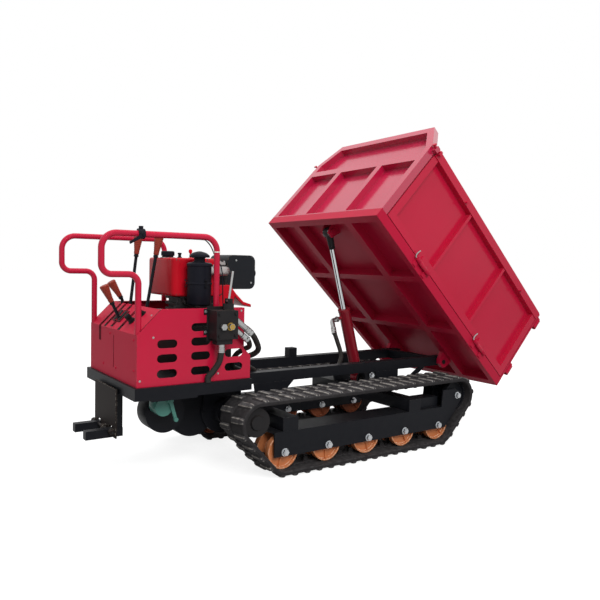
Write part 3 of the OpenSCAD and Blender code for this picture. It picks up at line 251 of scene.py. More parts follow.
# green enamel on a small casting: uneven in tone, half gloss
TEAL = coated_steel("teal_enamel", "#376C61", "#528378", "#7A7C72", rough=0.35, dust_share=0.3,
                    coat=0.1)
# enamel on the engine's pressed sheet: clean, even, pure red
ENGINE_RED = coated_steel("engine_gloss_enamel", "#C41526", "#B21020", "#9A8078", rough=0.22,
                          dust_share=0.06, coat=0.05, shine=0.05)
# heat paint on the exhaust: dead flat black with a brown bloom
HEAT_BLACK = coated_steel("heat_resisting_paint", "#16181C", "#1E2024", "#5C534A", rough=0.45,
                          dust_share=0.12, shine=0.14, bare="#6B5A4A")
# oily black paint on castings
CASTING_BLACK = coated_steel("oily_casting_black", "#17171A", "#211F1F", "#5A4C42", rough=0.5,
                             dust_share=0.3, shine=0.18, bare="#5A5450")
# worn dark paint on the tread plate
TREAD = coated_steel("worn_tread_paint", "#1E1A19", "#2A2422", "#6A5E54", rough=0.55,
                     dust_share=0.26, shine=0.06, bare="#8A857C", chips=0.48)
# electroplated zinc on fasteners: bright grey with a cloudy bloom
ZINC = bare_metal("zinc_plate", "#C4C4C2", "#A5A7A8", rough=0.26, spread=0.16, grain_mm=1.2,
                  stain_share=0.2)
# bright plated nuts
BRIGHT_ZINC = bare_metal("bright_zinc_plate", "#D6D8DA", "#B6B9BD", rough=0.12, spread=0.12,
                         grain_mm=1.0, stain_share=0.15)
# yellow passivated zinc on the hydraulic plugs
YELLOW_ZINC = bare_metal("yellow_zinc_plate", "#C6A552", "#B58E4A", rough=0.26, spread=0.16,
                         grain_mm=1.2, stain_share=0.2)
# hard chrome on the ram: mirror bright with fine wiping marks
CHROME = bare_metal("hard_chrome", "#D6D8DA", "#C8CACD", rough=0.06, spread=0.06, grain_mm=0.8,
                    stain_share=0.1, stain="#9A9A98")
# bare pressure cast aluminium: dull silver
ALUMINIUM = bare_metal("cast_aluminium", "#C6BFBD", "#ABA5A3", rough=0.38, spread=0.18,
                       grain_mm=1.8, stain_share=0.2, stain="#6A625A")
# track rubber: carbon black compound, matt, powdered with clay
TREAD_RUBBER = moulded("track_rubber", "#222021", "#2B292A", "#6E6B6B", rough=0.75,
                       dust_share=0.32, grain_mm=3.0, shine=0.12)
# lug rubber, scuffed grey by the ground
LUG_RUBBER = moulded("scuffed_lug_rubber", "#2C2A2B", "#383637", "#9A9797", rough=0.78,
                     dust_share=0.34, grain_mm=2.4, shine=0.12, scuff_share=0.85)
# hose cover: smooth wrapped rubber
HOSE_RUBBER = moulded("hose_rubber", "#1C1A19", "#262321", "#6A6058", rough=0.5, dust_share=0.22,
                      grain_mm=1.6)
# soft rubber of boots and slot lips, clean and dark
SOFT_RUBBER = moulded("soft_black_rubber", "#0A0A0B", "#101011", "#2A2725", rough=0.7,
                      dust_share=0.2, grain_mm=1.4)
# glass filled nylon mouldings: fine spark grain
NYLON = moulded("black_nylon", "#14151C", "#191A22", "#6A665F", rough=0.42, dust_share=0.06,
                grain_mm=1.2, shine=0.08)
# grip rubber, oxide red, polished by hands
GRIP = moulded("oxide_red_grip", "#8E3426", "#7A2A1E", "#A07060", rough=0.5, dust_share=0.2,
               grain_mm=1.5)
# natural nylon cable ties: milky and even
TIE = moulded("natural_nylon", "#E6E4DC", "#D8D5CA", "#B0A898", rough=0.4, dust_share=0.2,
              grain_mm=1.0)
# unlit hollow behind a hole or a seam
PIT = moulded("shaded_hollow", "#0C0C0D", "#121213", "#1C1A18", rough=0.9, dust_share=0.2,
              grain_mm=2.0)


# finished pieces

# how far the corners of sheet, nuts, tube, wheels, bars and panels, beams and blocks, castings, and
# the engine's three pressings are rounded
SHEET_EDGE, NUT_EDGE, TUBE_EDGE, WHEEL_EDGE, BAR_EDGE = 0.0006, 0.0008, 0.001, 0.0012, 0.0015
BEAM_EDGE, CAST_EDGE, COWL_EDGE, BOX_EDGE, TANK_EDGE = 0.002, 0.003, 0.004, 0.013, 0.014


def outward(bm):
    """Turns all faces to point out of the shape."""
    bmesh.ops.recalc_face_normals(bm, faces=bm.faces)
    return bm


def plain_mesh(name, bm, smooth=0):
    """A bmesh as a mesh; where a smooth angle is given, gentler edges are shaded round."""
    if smooth:
        outward(bm)
    mesh = bpy.data.meshes.new(name)
    bm.to_mesh(mesh)
    bm.free()
    if smooth:
        mesh.shade_smooth()
        mesh.set_sharp_from_angle(angle=math.radians(smooth))
    return mesh


def finished(name, mesh, mat):
    """The object of a mesh in its finish."""
    mesh.name = name
    mesh.materials.clear()
    mesh.materials.append(mat)
    made = bpy.data.objects.new(name, mesh)
    scene.collection.objects.link(made)
    return made


def piece(name, shape, body, mat, slot, *stands_for, smooth=32):
    """Makes a finished piece from a bmesh or a mesh, and hangs it on its body."""
    if isinstance(shape, bmesh.types.BMesh):
        shape = plain_mesh(name, shape, smooth)
    made = finished(name, shape, mat)
    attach(made, body)
    if stands_for:
        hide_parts(*stands_for)


def softened(node, width, segments, turn):
    """A copy of a CAD node with its corners rounded; the corner faces carry the edge mark."""
    weld, level, bend, limit = 2e-5, math.radians(0.6), 1e-3, math.radians(turn)
    bm = bmesh.new()
    bm.from_mesh(cad[node].data)
    bmesh.ops.remove_doubles(bm, verts=bm.verts, dist=weld)
    bmesh.ops.dissolve_limit(bm, angle_limit=level, verts=bm.verts, edges=bm.edges)
    mark = bm.loops.layers.float.new("edge")
    corners = [e for e in bm.edges if len(e.link_faces) == 2 and e.calc_face_angle(0) > limit]
    made = bmesh.ops.bevel(bm, geom=corners, offset=width, segments=segments, profile=0.6,
                           affect="EDGES", clamp_overlap=True)
    rounded = set(made["faces"])
    for face in bm.faces:
        face.smooth = face in rounded
        if face in rounded:
            for loop in face.loops:
                loop[mark] = 1.0
    for edge in bm.edges:
        if len(edge.link_faces) == 2 and not (rounded & set(edge.link_faces)):
            if bend < edge.calc_face_angle(0) < limit:
                for face in edge.link_faces:
                    face.smooth = True
    return bm


def dress(node, name, width, body, mat, slot, segments=2, turn=30):
    """Stands for a CAD node: its own form with rounded corners, in its finish."""
    piece(name, softened(node, width, segments, turn), body, mat, slot, node, smooth=0)


# shapes

def frame_at(origin, axis, hint=None):
    """Matrix whose z is the axis, at an origin."""
    z = Vector(axis).normalized()
    x = Vector(hint) if hint else (AHEAD if abs(z.x) < 0.9 else ACROSS)
    y = z.cross(x).normalized()
    x = y.cross(z)
    turn = Matrix((x, y, z)).transposed().to_4x4()
    return Matrix.Translation(origin) @ turn


def round_turn(count):
    """Angles of points spread evenly round a circle."""
    return [2 * math.pi * k / count for k in range(count)]


def skin(bm, rings, closed=False):
    """Joins rings of points with faces, and the last to the first where closed."""
    faces = []
    following = rings[1:] + rings[:1] if closed else rings[1:]
    for low, high in zip(rings, following):
        for k in range(len(low)):
            q = (k + 1) % len(low)
            faces.append(bm.faces.new((low[k], low[q], high[q], high[k])))
    return faces


def lathe(bm, profile, origin, axis, sides=48):
    """Turns a (radius, height) profile about an axis; ends at radius 0 close themselves."""
    to = frame_at(origin, axis)
    rings = []
    for r, h in profile:
        turns = round_turn(sides if r > 0 else 1)
        rings.append([bm.verts.new(to @ Vector((r * math.cos(a), r * math.sin(a), h)))
                      for a in turns])
    for low, high in zip(rings, rings[1:]):
        for k in range(sides):
            q = (k + 1) % sides
            ring = [low[k % len(low)], low[q % len(low)], high[q % len(high)], high[k % len(high)]]
            ring = list(dict.fromkeys(ring))
            if len(ring) > 2:
                bm.faces.new(ring)
    return bm


def block(bm, origin, x_axis, z_axis, size, soft=0.0015, segments=2):
    """A rounded block centred on an origin."""
    to = frame_at(origin, z_axis, x_axis)
    made = bmesh.ops.create_cube(bm, size=1, matrix=to @ Matrix.Diagonal((*size, 1)))
    edges = list(dict.fromkeys(e for v in made["verts"] for e in v.link_edges))
    bmesh.ops.bevel(bm, geom=edges, offset=soft, segments=segments, profile=0.6, affect="EDGES")
    return bm


def spline(points, per_span=8):
    """Smooth route through the points, as in the part."""
    p = [Vector(q) for q in points]
    n = len(p) - 1
    route = []
    for i in range(n):
        a, b, c, d = p[max(i - 1, 0)], p[i], p[i + 1], p[min(i + 2, n)]
        for k in range(per_span):
            t = k / per_span
            route.append(0.5 * (2 * b + (c - a) * t + (2 * a - 5 * b + 4 * c - d) * t * t
                                + (3 * b - a - 3 * c + d) * t ** 3))
    return route + [p[-1]]


def tube(bm, route, radius, sides=16):
    """A round tube along a route, with closed ends."""
    ref = None
    rings = []
    for i, at in enumerate(route):
        run = (route[min(i + 1, len(route) - 1)] - route[max(i - 1, 0)]).normalized()
        if ref is None:
            ref = run.orthogonal().normalized()
        ref = (ref - run * ref.dot(run)).normalized()
        side = run.cross(ref)
        rings.append([bm.verts.new(at + radius * (ref * math.cos(a) + side * math.sin(a)))
                      for a in round_turn(sides)])
    skin(bm, rings)
    bm.faces.new(list(reversed(rings[0])))
    bm.faces.new(rings[-1])
    return bm


# node trees that repeat a shape on marked points; a mark is (place, way it faces, way it runs)

WASHER_H = 0.0015
# edges of a repeated shape that turn less than this, in degrees, are shaded round
ROUND_BELOW = 30


def marked_points(name, marks):
    """Points that carry the way they face and the way they run."""
    mesh = bpy.data.meshes.new(name)
    mesh.from_pydata([tuple(mark[0]) for mark in marks], [], [])
    for label, index in (("out", 1), ("along", 2)):
        layer = mesh.attributes.new(label, "FLOAT_VECTOR", "POINT")
        ways = [Vector(mark[index]).normalized() for mark in marks]
        layer.data.foreach_set("vector", [c for way in ways for c in way])
    return mesh


def marks_round(centre, radius, count, first=0.0):
    """Marks spread round an upright axis, facing outwards from it."""
    outs = [Vector((math.cos(a), math.sin(a), 0))
            for a in (math.radians(first) + turn for turn in round_turn(count))]
    return [(centre + out * radius, out, UP) for out in outs]


def start_tree(name, *sizes):
    """A geometry tree with an input for each named size and one for the finish."""
    tree = bpy.data.node_groups.new(name, "GeometryNodeTree")
    tree.interface.new_socket("Geometry", in_out="INPUT", socket_type="NodeSocketGeometry")
    for label, kind in sizes:
        tree.interface.new_socket(label, in_out="INPUT", socket_type=kind)
    tree.interface.new_socket("Finish", in_out="INPUT", socket_type="NodeSocketMaterial")
    tree.interface.new_socket("Geometry", in_out="OUTPUT", socket_type="NodeSocketGeometry")
    return tree, add(tree, "NodeGroupInput")


def end_tree(tree, given, shape):
    """Sets the shape on every mark, turned as the mark says, and gives it the finish."""
    out = add(tree, "GeometryNodeInputNamedAttribute", {"Name": "out"}, data_type="FLOAT_VECTOR")
    along = add(tree, "GeometryNodeInputNamedAttribute", {"Name": "along"},
                data_type="FLOAT_VECTOR")
    turned = add(tree, "FunctionNodeAxesToRotation", {0: (out, 0), 1: (along, 0)},
                 primary_axis="Z", secondary_axis="X")
    spread = add(tree, "GeometryNodeInstanceOnPoints", {
        "Points": (given, "Geometry"), "Instance": (shape, "Geometry"), "Rotation": (turned, 0)})
    whole = add(tree, "GeometryNodeRealizeInstances", {"Geometry": (spread, 0)})
    coated = add(tree, "GeometryNodeSetMaterial", {"Geometry": (whole, 0),
                                                   "Material": (given, "Finish")})
    add(tree, "NodeGroupOutput", {"Geometry": (coated, 0)})
    return tree


def bolt_tree():
    """Hex head with a turned crown on a washer, standing on the marked point."""
    crown_share, crown_rise = 0.82, 0.16
    tree, given = start_tree(
        "hex_bolts", *((label, "NodeSocketFloat") for label in (
            "Corner radius", "Head height", "Washer radius", "Washer height")))
    corner, head_h = (given, "Corner radius"), (given, "Head height")
    washer, washer_h = (given, "Washer radius"), (given, "Washer height")
    head = add(tree, "GeometryNodeMeshCone", {
        "Vertices": 6, "Radius Bottom": corner, "Radius Top": corner, "Depth": head_h})
    crown = add(tree, MATHS, {0: corner, 1: crown_share}, operation="MULTIPLY")
    rise = add(tree, MATHS, {0: head_h, 1: crown_rise}, operation="MULTIPLY")
    cap = add(tree, "GeometryNodeMeshCone", {
        "Vertices": 12, "Radius Bottom": (crown, 0), "Radius Top": (crown, 0), "Depth": (rise, 0)})
    ring = add(tree, "GeometryNodeMeshCone", {
        "Vertices": 20, "Radius Bottom": washer, "Radius Top": washer, "Depth": washer_h})
    lift_head = add(tree, "ShaderNodeCombineXYZ", {2: washer_h})
    top = add(tree, MATHS, {0: washer_h, 1: head_h}, operation="ADD")
    lift_cap = add(tree, "ShaderNodeCombineXYZ", {2: (top, 0)})
    head_up = add(tree, "GeometryNodeTransform", {"Geometry": (head, "Mesh"),
                                                  "Translation": (lift_head, 0)})
    cap_up = add(tree, "GeometryNodeTransform", {"Geometry": (cap, "Mesh"),
                                                 "Translation": (lift_cap, 0)})
    both = add(tree, "GeometryNodeJoinGeometry")
    for made in (ring, head_up, cap_up):
        tree.links.new(made.outputs[0], both.inputs[0])
    return end_tree(tree, given, both)


def copy_tree():
    """A given shape, standing on each marked point."""
    tree, given = start_tree("repeated_shape", ("Shape", "NodeSocketObject"))
    return end_tree(tree, given, add(tree, "GeometryNodeObjectInfo", {"Object": (given, "Shape")}))


BOLTS, COPIES = bolt_tree(), copy_tree()


def grow(name, tree, marks, **given):
    """Runs a node tree on marked points and returns the plain mesh."""
    carrier = bpy.data.objects.new(name, marked_points(name, marks))
    scene.collection.objects.link(carrier)
    step = carrier.modifiers.new("grow", "NODES")
    step.node_group = tree
    for item in tree.interface.items_tree:
        key = item.name.lower().replace(" ", "_")
        if item.item_type == "SOCKET" and item.in_out == "INPUT" and key in given:
            step[item.identifier] = given[key]
    carrier.update_tag()
    seen = carrier.evaluated_get(bpy.context.evaluated_depsgraph_get())
    mesh = bpy.data.meshes.new_from_object(seen)
    bpy.data.objects.remove(carrier)
    mesh.shade_smooth()
    mesh.set_sharp_from_angle(angle=math.radians(ROUND_BELOW))
    return mesh


def repeated(name, shape, marks, body, mat, slot):
    """A piece made of one shape on every mark."""
    pattern = bpy.data.objects.new(name + "_shape", plain_mesh(name + "_shape", shape))
    scene.collection.objects.link(pattern)
    mesh = grow(name, COPIES, marks, finish=mat, shape=pattern)
    bpy.data.objects.remove(pattern)
    piece(name, mesh, body, mat, slot)


def bolts(name, mat, marks, corner, head, washer):
    """Hex bolts on the frame, by corner radius, head height and washer radius."""
    mesh = grow(name, BOLTS, marks, finish=mat, corner_radius=corner, head_height=head,
                washer_radius=washer, washer_height=WASHER_H)
    piece(name, mesh, "chassis", mat, "zinc_steel")


# rubber belts: a banded carcass with staggered ground lugs and inner guide horns

GAUGE, ROLLER_PITCH, ROLLER_Z, ROLLER_R = 0.345, 0.240, 0.107, 0.079
WHEEL_Z, WHEEL_R, SPROCKET_X, IDLER_X = 0.250, 0.076, -0.615, 0.620
BELT_W, BELT_T, LINKS = 0.200, 0.018, 47
LUG_H, LUG_W, LUG_INNER, LUG_SKEW, LUG_SUNK = 0.0097, 0.030, 0.012, 0.1, 0.004
HORN_H = 0.024
# where the lugs of the near and the far row stand, as a share of a link
NEAR_PHASE, FAR_PHASE = 0.3, 0.8
ARC_STEP, RUN_STEP = 0.004, 0.03
WHEELS = [((SPROCKET_X, WHEEL_Z), WHEEL_R), ((-2 * ROLLER_PITCH, ROLLER_Z), ROLLER_R),
          ((2 * ROLLER_PITCH, ROLLER_Z), ROLLER_R), ((IDLER_X, WHEEL_Z), WHEEL_R)]


def belt_line():
    """Mid line of the carcass as (place, outward, length so far) in the x z plane; its length."""
    spans = list(zip(WHEELS, WHEELS[1:] + WHEELS[:1]))
    outs = []
    for ((x0, z0), r0), ((x1, z1), r1) in spans:
        run = Vector((x1 - x0, z1 - z0))
        length = run.length
        run /= length
        lean = (r0 - r1) / length
        outs.append(run * lean + Vector((run.y, -run.x)) * math.sqrt(1 - lean * lean))
    spots = []
    for i, ((hub, r), (next_hub, next_r)) in enumerate(spans):
        centre, radius = Vector(hub), r + BELT_T / 2
        first = math.atan2(outs[i - 1].y, outs[i - 1].x)
        turn = (math.atan2(outs[i].y, outs[i].x) - first) % (2 * math.pi)
        steps = max(int(turn * radius / ARC_STEP), 4)
        for k in range(steps + 1):
            a = first + turn * k / steps
            way = Vector((math.cos(a), math.sin(a)))
            spots.append((centre + way * radius, way))
        start = centre + outs[i] * radius
        end = Vector(next_hub) + outs[i] * (next_r + BELT_T / 2)
        steps = int((end - start).length / RUN_STEP)
        spots += [(start.lerp(end, k / steps), outs[i]) for k in range(1, steps)]
    line, length = [], 0.0
    for i, (at, way) in enumerate(spots):
        length += (at - spots[max(i - 1, 0)][0]).length
        line.append((at, way, length))
    return line, length + (spots[0][0] - spots[-1][0]).length


BELT_LINE, BELT_LENGTH = belt_line()


def on_belt(s):
    """Place and outward way at a length along the belt's mid line."""
    s %= BELT_LENGTH
    for a, b in zip(BELT_LINE, BELT_LINE[1:] + [(*BELT_LINE[0][:2], BELT_LENGTH)]):
        if a[2] <= s <= b[2] and b[2] > a[2]:
            t = (s - a[2]) / (b[2] - a[2])
            return a[0].lerp(b[0], t), a[1].lerp(b[1], t).normalized()
    return BELT_LINE[0][:2]


def lug_shape():
    """Ground lug: a tapered bar with a chamfered crown, thinned towards the belt's edge."""
    bm = bmesh.new()
    mark = bm.loops.layers.float.new("edge")
    sections = []
    for y, wide, share in ((LUG_INNER, LUG_W, 0.92), (0.022, LUG_W, 1), (0.082, LUG_W, 1),
                           (0.0985, 0.025, 0.72), (BELT_W / 2 + 0.0005, 0.022, 0.25)):
        skew, high = (y - LUG_INNER) * LUG_SKEW, LUG_H * share
        foot, crown = wide / 2, wide / 2 - 0.0045
        half = [(foot, -LUG_SUNK), (foot, 0.001), (crown + 0.0020, high * 0.66),
                (crown - 0.0022, high)]
        outline = [(-x, z) for x, z in half] + half[::-1]
        sections.append([bm.verts.new((x + skew, -y, z)) for x, z in outline])
    chamfers = (2, 4)
    for i, face in enumerate(skin(bm, sections)):
        for loop in face.loops:
            loop[mark] = 1.0 if i % len(sections[0]) in chamfers else 0.0
    bm.faces.new(sections[0])
    bm.faces.new(list(reversed(sections[-1])))
    return outward(bm)


def horn_shape():
    """Guide horn: a pair of blunt teeth that run in the rollers' grooves."""
    bm = bmesh.new()
    for side in (-1, 1):
        rings = []
        for run, near, far, z in ((0.017, 0.010, 0.022, 0.003), (0.008, 0.0115, 0.0185, -HORN_H)):
            corners = ((-run, near), (run, near), (run, far), (-run, far))
            rings.append([bm.verts.new((x, side * y, z)) for x, y in corners])
        skin(bm, rings)
        for ring in rings:
            bm.faces.new(ring)
    outward(bm)
    bmesh.ops.bevel(bm, geom=bm.edges[:], offset=0.0015, segments=1, affect="EDGES")
    return bm


def carcass(y_mid):
    """The belt's band: rounded edges, a raised rib inside and a groove along the middle outside."""
    bm = bmesh.new()
    half, h = BELT_W / 2, BELT_T / 2
    one_side = [(0.026, -h - 0.003), (0.030, -h), (half - 0.004, -h), (half, -h + 0.004),
                (half, h - 0.003), (half - 0.003, h), (0.008, h), (0.006, h - 0.002)]
    section = one_side + [(-y, g) for y, g in reversed(one_side)]
    skin(bm, [[bm.verts.new((at.x + n.x * g, y_mid + y, at.y + n.y * g)) for y, g in section]
              for at, n, _ in BELT_LINE], closed=True)
    bmesh.ops.remove_doubles(bm, verts=bm.verts, dist=1e-6)
    return bm


def belts():
    """Both belts, with lugs in two rows half a link apart and a pair of horns on each link."""
    for side, y in (("right", -GAUGE), ("left", GAUGE)):
        piece(f"belt_band_{side}", carcass(y), "chassis", TREAD_RUBBER, "track_rubber",
              f"belt_{side}")
        near, far, horns = [], [], []
        for k in range(LINKS):
            for row, phase, way in ((near, NEAR_PHASE, 1), (far, FAR_PHASE, -1)):
                at, n = on_belt((k + phase) * BELT_LENGTH / LINKS)
                mid, out = Vector((at.x, y, at.y)), Vector((n.x, 0, n.y))
                run = Vector((-n.y, 0, n.x))
                row.append((mid + out * BELT_T / 2, out, run * way))
                if row is near:
                    horns.append((mid - out * BELT_T / 2, out, run))
        repeated(f"belt_lugs_{side}", lug_shape(), near + far, "chassis", LUG_RUBBER,
                 "track_rubber")
        repeated(f"belt_horns_{side}", horn_shape(), horns, "chassis", TREAD_RUBBER,
                 "track_rubber")


# running gear

# ribs and drain hole in a roller's dish; each roller is turned on from the last by ROLLER_TURN
DISH_Y, ROLLER_TURN = 0.046, 14
RIBS, RIB_R, RIB_SIZE, RIB_RISE = 3, 0.050, (0.041, 0.0045, 0.010), 0.003
DRAIN_R, DRAIN_TURN, DRAIN_PROUD = 0.056, 85, 0.0002


def wheel_web(body, hub, turn, finish):
    """Cast ribs in both dishes of a roller, and the drain hole beside one rib."""
    ribs, drains = [], []
    for out in (TO_RIGHT, ACROSS):
        for way in (spoke(turn + 360 / RIBS * k) for k in range(RIBS)):
            ribs.append((hub + way * RIB_R + out * DISH_Y, out, way))
        drain_at = hub + spoke(turn + DRAIN_TURN) * DRAIN_R + out * (DISH_Y + DRAIN_PROUD)
        drains.append((drain_at, out, AHEAD))
    rib = block(bmesh.new(), (0, 0, RIB_RISE), AHEAD, UP, RIB_SIZE, 0.001)
    repeated(f"{body}_ribs", rib, ribs, body, finish, "orange_paint")
    drain = [(0, 0.0006), (0.0042, 0.0006), (0.005, 0), (0, 0)]
    repeated(f"{body}_drains", outward(lathe(bmesh.new(), drain, (0, 0, 0), UP, 18)), drains, body,
             PIT, "orange_paint")


def running_gear():
    """Frame, wheels, drive case and step; the left rollers get the darker enamel of painted shade.
    """
    for side, y, finish in (("right", -GAUGE, ORANGE), ("left", GAUGE, SHADED_ORANGE)):
        dress(f"track_frame_{side}", f"roller_frame_{side}", BAR_EDGE, "chassis", BLACK,
              "black_paint")
        for i in range(1, 6):
            roller = f"roller_{side}_{i}"
            dress(roller, f"roller_wheel_{side}_{i}", WHEEL_EDGE, roller, finish, "orange_paint")
            hub = Vector(((i - 3) * ROLLER_PITCH, y, ROLLER_Z))
            wheel_web(roller, hub, ROLLER_TURN * i, finish)
        dress(f"idler_{side}", f"idler_wheel_{side}", WHEEL_EDGE, f"idler_{side}", BLACK,
              "black_paint")
        dress(f"sprocket_{side}", f"drive_wheel_{side}", WHEEL_EDGE, f"sprocket_{side}",
              CASTING_BLACK, "dark_iron")
    dress("axles", "axle_nuts", NUT_EDGE, "chassis", BRIGHT_ZINC, "zinc_steel")
    dress("cross_beams", "cross_beam_pair", BEAM_EDGE, "chassis", BLACK, "black_paint")
    dress("main_frame", "rail_frame", BEAM_EDGE, "chassis", BLACK, "black_paint")
    dress("pivot_pins", "pivot_pin_set", TUBE_EDGE, "chassis", CASTING_BLACK, "zinc_steel")
    dress("gearbox", "drive_case", CAST_EDGE, "chassis", BLACK, "black_paint")
    dress("shift_housing", "shift_case", CAST_EDGE, "chassis", TEAL, "teal_paint")
    dress("shift_arm", "shift_crank", BAR_EDGE, "shift_arm", TEAL, "teal_paint")
    dress("step_plate", "step_tread", TUBE_EDGE, "step_plate", TREAD, "dark_steel")


# engine

FILTER, FILTER_Z = Vector((-0.784, -0.174, 0)), 0.742
CLIPS, CLIP_Z, CLIP_R, FIRST_CLIP = 3, 0.835, 0.0545, 35
CAP, CAP_Z, TANK_Z = Vector((-0.845, 0.025, 0)), 0.945, 0.9445
CAP_RIBS, CAP_RIB_Z, CAP_RIB_R = 30, 0.963, 0.0292
BREATHER, BLEED = (-0.785, 0.030, TANK_Z), (-0.720, 0.036, TANK_Z)
TANK_KNOB = (-0.748, -0.006, TANK_Z)
MUFFLER_RIGHT, MUFFLER_LEFT = -0.0702, 0.1102
MUFFLER_BOLTS = ((-0.545, 0.940), (-0.463, 0.835))
OUTLET = Vector((-0.4385, -0.030, 0.880))
INTAKE, INTAKE_BANDS = Vector((0, -0.140, 0.890)), (-0.700, -0.668)
HEAD = Vector((-0.624, 0.005, 0))
HEAD_BOLT_X, HEAD_BOLT_Y, HEAD_BOLT_Z = 0.020, 0.065, 0.929
PUMP, PUMP_Z, UNION_Z = Vector((-0.838, -0.098, 0)), 0.700, 0.734
INJECTOR_ROUTE = ((-0.838, -0.098, 0.766), (-0.838, -0.110, 0.771), (-0.800, -0.113, 0.770),
                  (-0.700, -0.112, 0.768), (-0.640, -0.108, 0.785), (-0.618, -0.100, 0.830),
                  (-0.618, -0.084, 0.860))
INJECTOR_R = 0.003


def engine():
    """The engine's castings and pressings, and the small parts on them."""
    dress("engine_block", "engine_case", BEAM_EDGE, "chassis", CASTING_BLACK, "dark_iron")
    dress("fuel_tank", "tank_shell", TANK_EDGE, "chassis", ENGINE_RED, "engine_red",
          segments=5, turn=50)
    dress("intake_elbow", "intake_pipe", TUBE_EDGE, "chassis", ALUMINIUM, "cast_aluminium")
    dress("muffler", "muffler_box", BOX_EDGE, "chassis", HEAT_BLACK, "dark_muffler",
          segments=4, turn=50)
    dress("fan_shroud", "air_cowl", COWL_EDGE, "chassis", ENGINE_RED, "engine_red", segments=3)
    filter_can()
    tank_top()
    exhaust_fixings()
    engine_dressing()


def filter_can():
    """Oil bath air cleaner: pressed cups, a clip band at mid height and a mushroom rain cap."""
    cups = [(0, 0), (0.046, 0), (0.050, 0.002), (0.0525, 0.006), (0.0525, 0.088), (0.0550, 0.090),
            (0.0555, 0.093), (0.0550, 0.096), (0.0525, 0.098), (0.0525, 0.166), (0.0550, 0.169),
            (0.0555, 0.174), (0.0540, 0.179), (0.0490, 0.183), (0.030, 0.186), (0.0245, 0.188)]
    rain_cap = [(0.0240, 0.192), (0.0240, 0.204), (0.029, 0.206), (0.0425, 0.206), (0.0440, 0.208),
                (0.0440, 0.213), (0.0420, 0.217), (0.030, 0.226), (0.014, 0.231), (0.006, 0.2325),
                (0, 0.233)]
    can = lathe(bmesh.new(), cups + rain_cap, FILTER + UP * FILTER_Z, UP, 64)
    piece("filter_can", can, "chassis", NYLON, "black_plastic", "air_filter")
    clip = bmesh.new()
    block(clip, (0, 0, 0.002), AHEAD, UP, (0.034, 0.010, 0.003), 0.001)
    block(clip, (0.014, 0, 0.005), AHEAD, UP, (0.006, 0.014, 0.007))
    block(clip, (-0.014, 0, 0.004), AHEAD, UP, (0.005, 0.012, 0.005), 0.001)
    marks = marks_round(FILTER + UP * CLIP_Z, CLIP_R, CLIPS, FIRST_CLIP)
    repeated("filter_clips", clip, marks, "chassis", BLACK, "zinc_steel")


def tank_top():
    """Ribbed filler cap on its neck, the breather and the small knob beside it."""
    cap = [(0, 0.0005), (0.025, 0.0005), (0.025, 0.008), (0.0292, 0.009), (0.0297, 0.011),
           (0.0297, 0.025), (0.0282, 0.0285), (0.023, 0.030), (0.020, 0.0285), (0.008, 0.0285),
           (0, 0.029)]
    piece("tank_cap", lathe(bmesh.new(), cap, CAP + UP * CAP_Z, UP, 60), "fuel_cap", NYLON,
          "black_plastic", "fuel_cap")
    rib = block(bmesh.new(), (0, 0, 0), AHEAD, UP, (0.014, 0.0030, 0.0016), 0.0006, 1)
    marks = marks_round(CAP + UP * CAP_RIB_Z, CAP_RIB_R, CAP_RIBS)
    repeated("tank_cap_ribs", rib, marks, "fuel_cap", NYLON, "black_plastic")
    breather = [(0, 0), (0.011, 0), (0.011, 0.004), (0.007, 0.006), (0.007, 0.016), (0.009, 0.018),
                (0.009, 0.024), (0, 0.025)]
    bleed = [(0, 0), (0.008, 0), (0.008, 0.010), (0.005, 0.012), (0, 0.012)]
    bm = lathe(bmesh.new(), breather, BREATHER, UP, 24)
    lathe(bm, bleed, BLEED, UP, 20)
    piece("tank_breather", bm, "chassis", NYLON, "black_plastic")
    knob = [(0, 0), (0.010, 0), (0.010, 0.003), (0.004, 0.004), (0.004, 0.022), (0.007, 0.025),
            (0.009, 0.032), (0.007, 0.039), (0, 0.042)]
    piece("tank_knob", lathe(bmesh.new(), knob, TANK_KNOB, UP, 24), "chassis", ENGINE_RED,
          "engine_red")
    neck = [(0.0255, 0), (0.034, 0), (0.034, 0.0018), (0.028, 0.003), (0.0255, 0.003)]
    piece("tank_neck_ring", lathe(bmesh.new(), neck, CAP + UP * TANK_Z, UP), "chassis", ZINC,
          "zinc_steel")


def exhaust_fixings():
    """Bolts and the outlet of the muffler, and the elbow's hose bands."""
    sides = ((MUFFLER_RIGHT, TO_RIGHT), (MUFFLER_LEFT, ACROSS))
    marks = [(Vector((x, y, z)), way, UP) for y, way in sides for x, z in MUFFLER_BOLTS]
    bolts("muffler_bolts", ZINC, marks, corner=0.0040, head=0.003, washer=0.0046)
    outlet = [(0.010, -0.004), (0.017, -0.004), (0.017, 0.010), (0.0185, 0.012), (0.0185, 0.015),
              (0.0135, 0.015), (0.0135, 0.001), (0.010, -0.002)]
    piece("muffler_outlet", lathe(bmesh.new(), outlet, OUTLET, AHEAD, 32), "chassis", HEAT_BLACK,
          "dark_muffler")
    bore = [(0, 0), (0.0136, 0), (0.0136, 0.0006), (0, 0.0006)]
    piece("muffler_bore", lathe(bmesh.new(), bore, OUTLET + AHEAD * 0.001, AHEAD, 24), "chassis",
          PIT, "dark_muffler")
    band = [(0.0202, -0.005), (0.0216, -0.005), (0.0222, -0.003), (0.0222, 0.003),
            (0.0216, 0.005), (0.0202, 0.005), (0.0202, -0.005)]
    bm = bmesh.new()
    for x in INTAKE_BANDS:
        at = INTAKE + AHEAD * x
        lathe(bm, band, at, AHEAD, 40)
        block(bm, at + UP * 0.024, AHEAD, UP, (0.008, 0.016, 0.007), 0.001)
    piece("intake_bands", bm, "chassis", ZINC, "zinc_steel")


